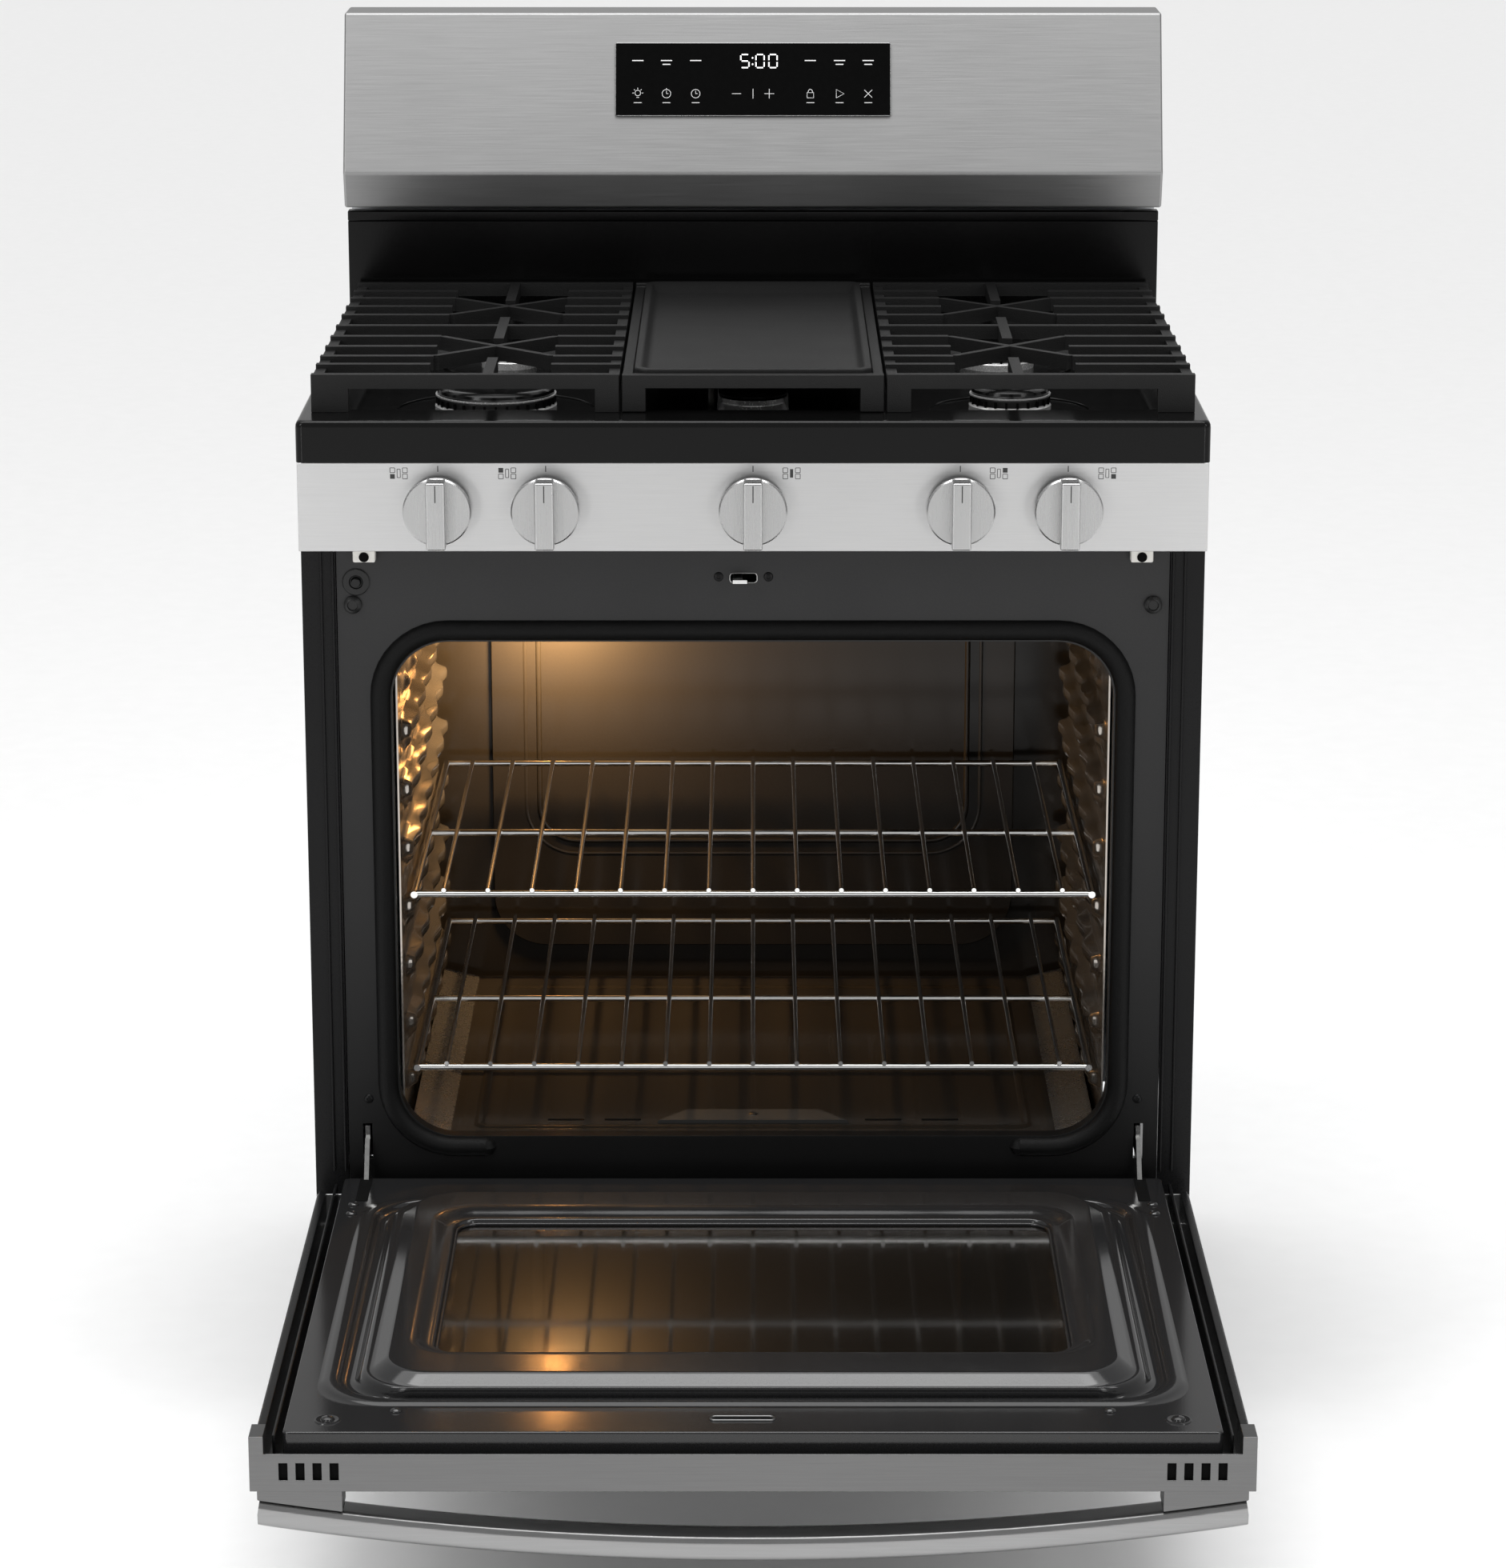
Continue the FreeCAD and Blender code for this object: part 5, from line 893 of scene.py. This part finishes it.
def icon_lines(row):
    """The icons of the lower row, as lines of (across, rise) points."""
    def closed(points):
        return points + [points[0]]

    def circle(cx, cz, radius, steps=20):
        return closed([(cx + radius * math.cos(2 * math.pi * n / steps),
                        cz + radius * math.sin(2 * math.pi * n / steps)) for n in range(steps)])

    bulb, timer, clock, lock, play, cancel = ICON_COLUMNS
    lines = [circle(bulb, row + 0.0006, 0.0026)]
    lines += [[(bulb + reach * math.cos(a), row + 0.0006 + reach * math.sin(a))
               for reach in (0.0036, 0.0050)] for a in [math.radians(45 * n) for n in range(5)]]
    lines.append([(bulb - 0.0012, row - 0.0035), (bulb + 0.0012, row - 0.0035)])
    for x in (timer, clock):
        lines.append(circle(x, row, 0.0040))
        lines.append([(x, row + 0.0026), (x, row), (x + 0.0018, row)])
    lines.append([(timer, row + 0.0040), (timer, row + 0.0052)])
    lines.append([(-0.0195, row), (-0.0110, row)])
    lines.append([(0.0, row - 0.0045), (0.0, row + 0.0045)])
    lines.append([(0.0105, row), (0.0195, row)])
    lines.append([(0.0150, row - 0.0045), (0.0150, row + 0.0045)])
    lines.append(closed([(lock - 0.003, row - 0.004), (lock + 0.003, row - 0.004),
                         (lock + 0.003, row + 0.001), (lock - 0.003, row + 0.001)]))
    lines.append([(lock + 0.0021 * math.cos(a), row + 0.001 + 0.0032 * math.sin(a))
                  for a in [math.pi * n / 10 for n in range(11)]])
    lines.append(closed([(play - 0.0030, row - 0.0040), (play + 0.0042, row),
                         (play - 0.0030, row + 0.0040)]))
    lines += [[(cancel - 0.0036, row - 0.0036 * s), (cancel + 0.0036, row + 0.0036 * s)]
              for s in SIDES]
    return lines


def display():
    """The glass with its thin bezel, a clock, generic icons and plain bars for labels."""
    low, high = box("console_display")
    lean = math.atan2(0.054, 0.142)
    up = Vector((0, math.sin(lean), math.cos(lean)))
    out = Vector((0, -math.cos(lean), math.sin(lean)))
    face = (low + high) / 2 + out * 0.0001
    half_x, half_up = high.x, (high.z - low.z) / 2 / math.cos(lean)
    row, low_row = half_up * 0.50, -half_up * 0.40

    def on_glass(across, rise, proud):
        return face + Vector((across, 0, 0)) + up * rise + out * proud

    def slab(work, across, rise, thickness=0.0002, back=INK_RISE):
        for vert in bmesh.ops.create_cube(work, size=1)["verts"]:
            a = across[0] if vert.co.x < 0 else across[1]
            b = rise[0] if vert.co.z < 0 else rise[1]
            vert.co = on_glass(a, b, back if vert.co.y > 0 else back + thickness)

    work = bmesh.new()
    slab(work, (-half_x, half_x), (-half_up, half_up), 0.0026, -0.0014)
    bevel(work, 0.0006, 2)
    piece("display_glass", mesh_of("glass", work), "chassis", "display_glass",
          stands_for=("console_display",))
    edge = [on_glass(p.x, p.z, 0.0004)
            for p in ring_points((-half_x, half_x), (-half_up, half_up), 0.002, 0, "xz")]
    tube("display_bezel", [edge], 0.0006, "chassis", "knob_metal", cyclic=True, steps=3)
    work = bmesh.new()
    w, tall, thick, gap = 0.0038, 0.0062, 0.00055, 0.0009
    for centre, digit in ((-0.0075, "5"), (0.0065, "0"), (0.0185, "0")):
        for name in DIGITS[digit]:
            dx, flat_bar, dz = DIGIT_BARS[name]
            x, z = centre + dx * w, row + dz * tall
            if flat_bar:
                slab(work, (x - w + gap, x + w - gap), (z - thick, z + thick))
            else:
                slab(work, (x - thick, x + thick), (z - tall / 2 + gap, z + tall / 2 - gap))
    for z in (-0.003, 0.003):
        slab(work, (-0.0010, 0.0002), (row + z - 0.0007, row + z + 0.0007))
    piece("display_digits", mesh_of("digits", work), "chassis", "display_glass",
          material=DETAILS["white_ink"])
    icons = [[on_glass(a, b, INK_RISE) for a, b in line] for line in icon_lines(low_row)]
    tube("display_icons", icons, 0.00030, "chassis", "display_glass", steps=2,
         material=DETAILS["grey_ink"])
    work = bmesh.new()
    for x, lines in zip(ICON_COLUMNS, (1, 2, 1, 1, 2, 2)):
        for n in range(lines):
            wide, z = 0.0036 if n else 0.0052, row + 0.0005 - n * 0.0036
            slab(work, (x - wide, x + wide), (z - 0.0005, z + 0.0005))
    for x in ICON_COLUMNS:
        slab(work, (x - 0.0036, x + 0.0036), (low_row - 0.0088, low_row - 0.0082))
    piece("display_labels", mesh_of("labels", work), "chassis", "display_glass",
          material=DETAILS["grey_ink"])


def other_covers():
    """Cabinet sheets, drawer and the rest, with their folds rounded."""
    for node, width in (("side_panel_left", 0.0006), ("side_panel_right", 0.0006),
                        ("rear_panel", 0.0005), ("drawer_front", 0.0006), ("drawer_box", 0.0005),
                        ("gas_regulator", 0.004), ("gas_valves", 0.003), ("cord_gland", 0.001),
                        ("levelling_feet", 0.0015), ("base_frame", 0.0008)):
        softened(node, width)


# ---------------------------------------------------------------- camera and light

def studio():
    """A pale floor, soft lights all round, a warm lamp in the oven, and the camera."""
    scene = bpy.context.scene
    floor_mesh = bpy.data.meshes.new("floor")
    reach = 30
    floor_mesh.from_pydata([(-reach, -reach, 0), (reach, -reach, 0), (reach, reach, 0),
                            (-reach, reach, 0)], [], [(0, 1, 2, 3)])
    floor = bpy.data.objects.new("floor", floor_mesh)
    scene.collection.objects.link(floor)
    floor_mesh.materials.append(surface("floor_paint", (0.86, 0.86, 0.86), (0.9, 0.9, 0.9), 0,
                                        0.7, 30))
    world = bpy.data.worlds.new("studio")
    scene.world = world
    world.use_nodes = True
    world.node_tree.nodes["Background"].inputs["Color"].default_value = (1, 1, 1, 1)
    world.node_tree.nodes["Background"].inputs["Strength"].default_value = 0.45

    def area(name, place, aim, size, power, color=(1, 1, 1)):
        light = bpy.data.lights.new(name, "AREA")
        light.shape = "RECTANGLE"
        light.size, light.size_y = size
        light.energy = power
        light.color = color
        holder = bpy.data.objects.new(name, light)
        holder.location = place
        holder.rotation_euler = (Vector(aim) - Vector(place)).to_track_quat("-Z", "Y").to_euler()
        scene.collection.objects.link(holder)

    area("key", (-2.2, -2.2, 2.6), (0, 0, 0.6), (0.8, 1.4), 22)
    area("fill", (2.2, -2.0, 2.2), (0, 0, 0.6), (0.8, 1.4), 14)
    area("top", (0, -0.6, 3.4), (0, -0.2, 0.6), (2.6, 1.0), 45)
    area("low_left", (-1.3, -2.8, 0.75), (0.2, 0.2, 0.5), (0.4, 0.9), 5)
    area("low_right", (1.3, -2.8, 0.75), (-0.2, 0.2, 0.5), (0.4, 0.9), 5)
    sun = bpy.data.lights.new("sky_light", "SUN")
    sun.energy = 1.7
    sun.angle = math.radians(60)
    holder = bpy.data.objects.new("sky_light", sun)
    holder.rotation_euler = (math.radians(-6), math.radians(-4), 0)
    scene.collection.objects.link(holder)
    lamp_low, lamp_high = box("oven_lamp")
    glow = bpy.data.lights.new("oven_glow", "POINT")
    glow.energy = LAMP_POWER
    glow.color = LAMP_COLOR
    glow.shadow_soft_size = 0.02
    holder = bpy.data.objects.new("oven_glow", glow)
    holder.location = (lamp_low + lamp_high) / 2 + Vector(LAMP_OFFSET)
    holder.visible_glossy = False
    scene.collection.objects.link(holder)

    camera = bpy.data.objects.new("camera", bpy.data.cameras.new("camera"))
    camera.location = CAMERA_PLACE
    camera.rotation_euler = (math.radians(90 - CAMERA_PITCH), 0, 0)
    camera.data.sensor_width = 36
    camera.data.lens = CAMERA_LENS
    camera.data.clip_end = 100
    scene.collection.objects.link(camera)
    scene.camera = camera
    scene.view_settings.view_transform = "Standard"


oven()
front_frame_details()
door()
door_handle()
cooktop()
burners()
grates()
knobs()
burner_icons()
console()
other_covers()
studio()
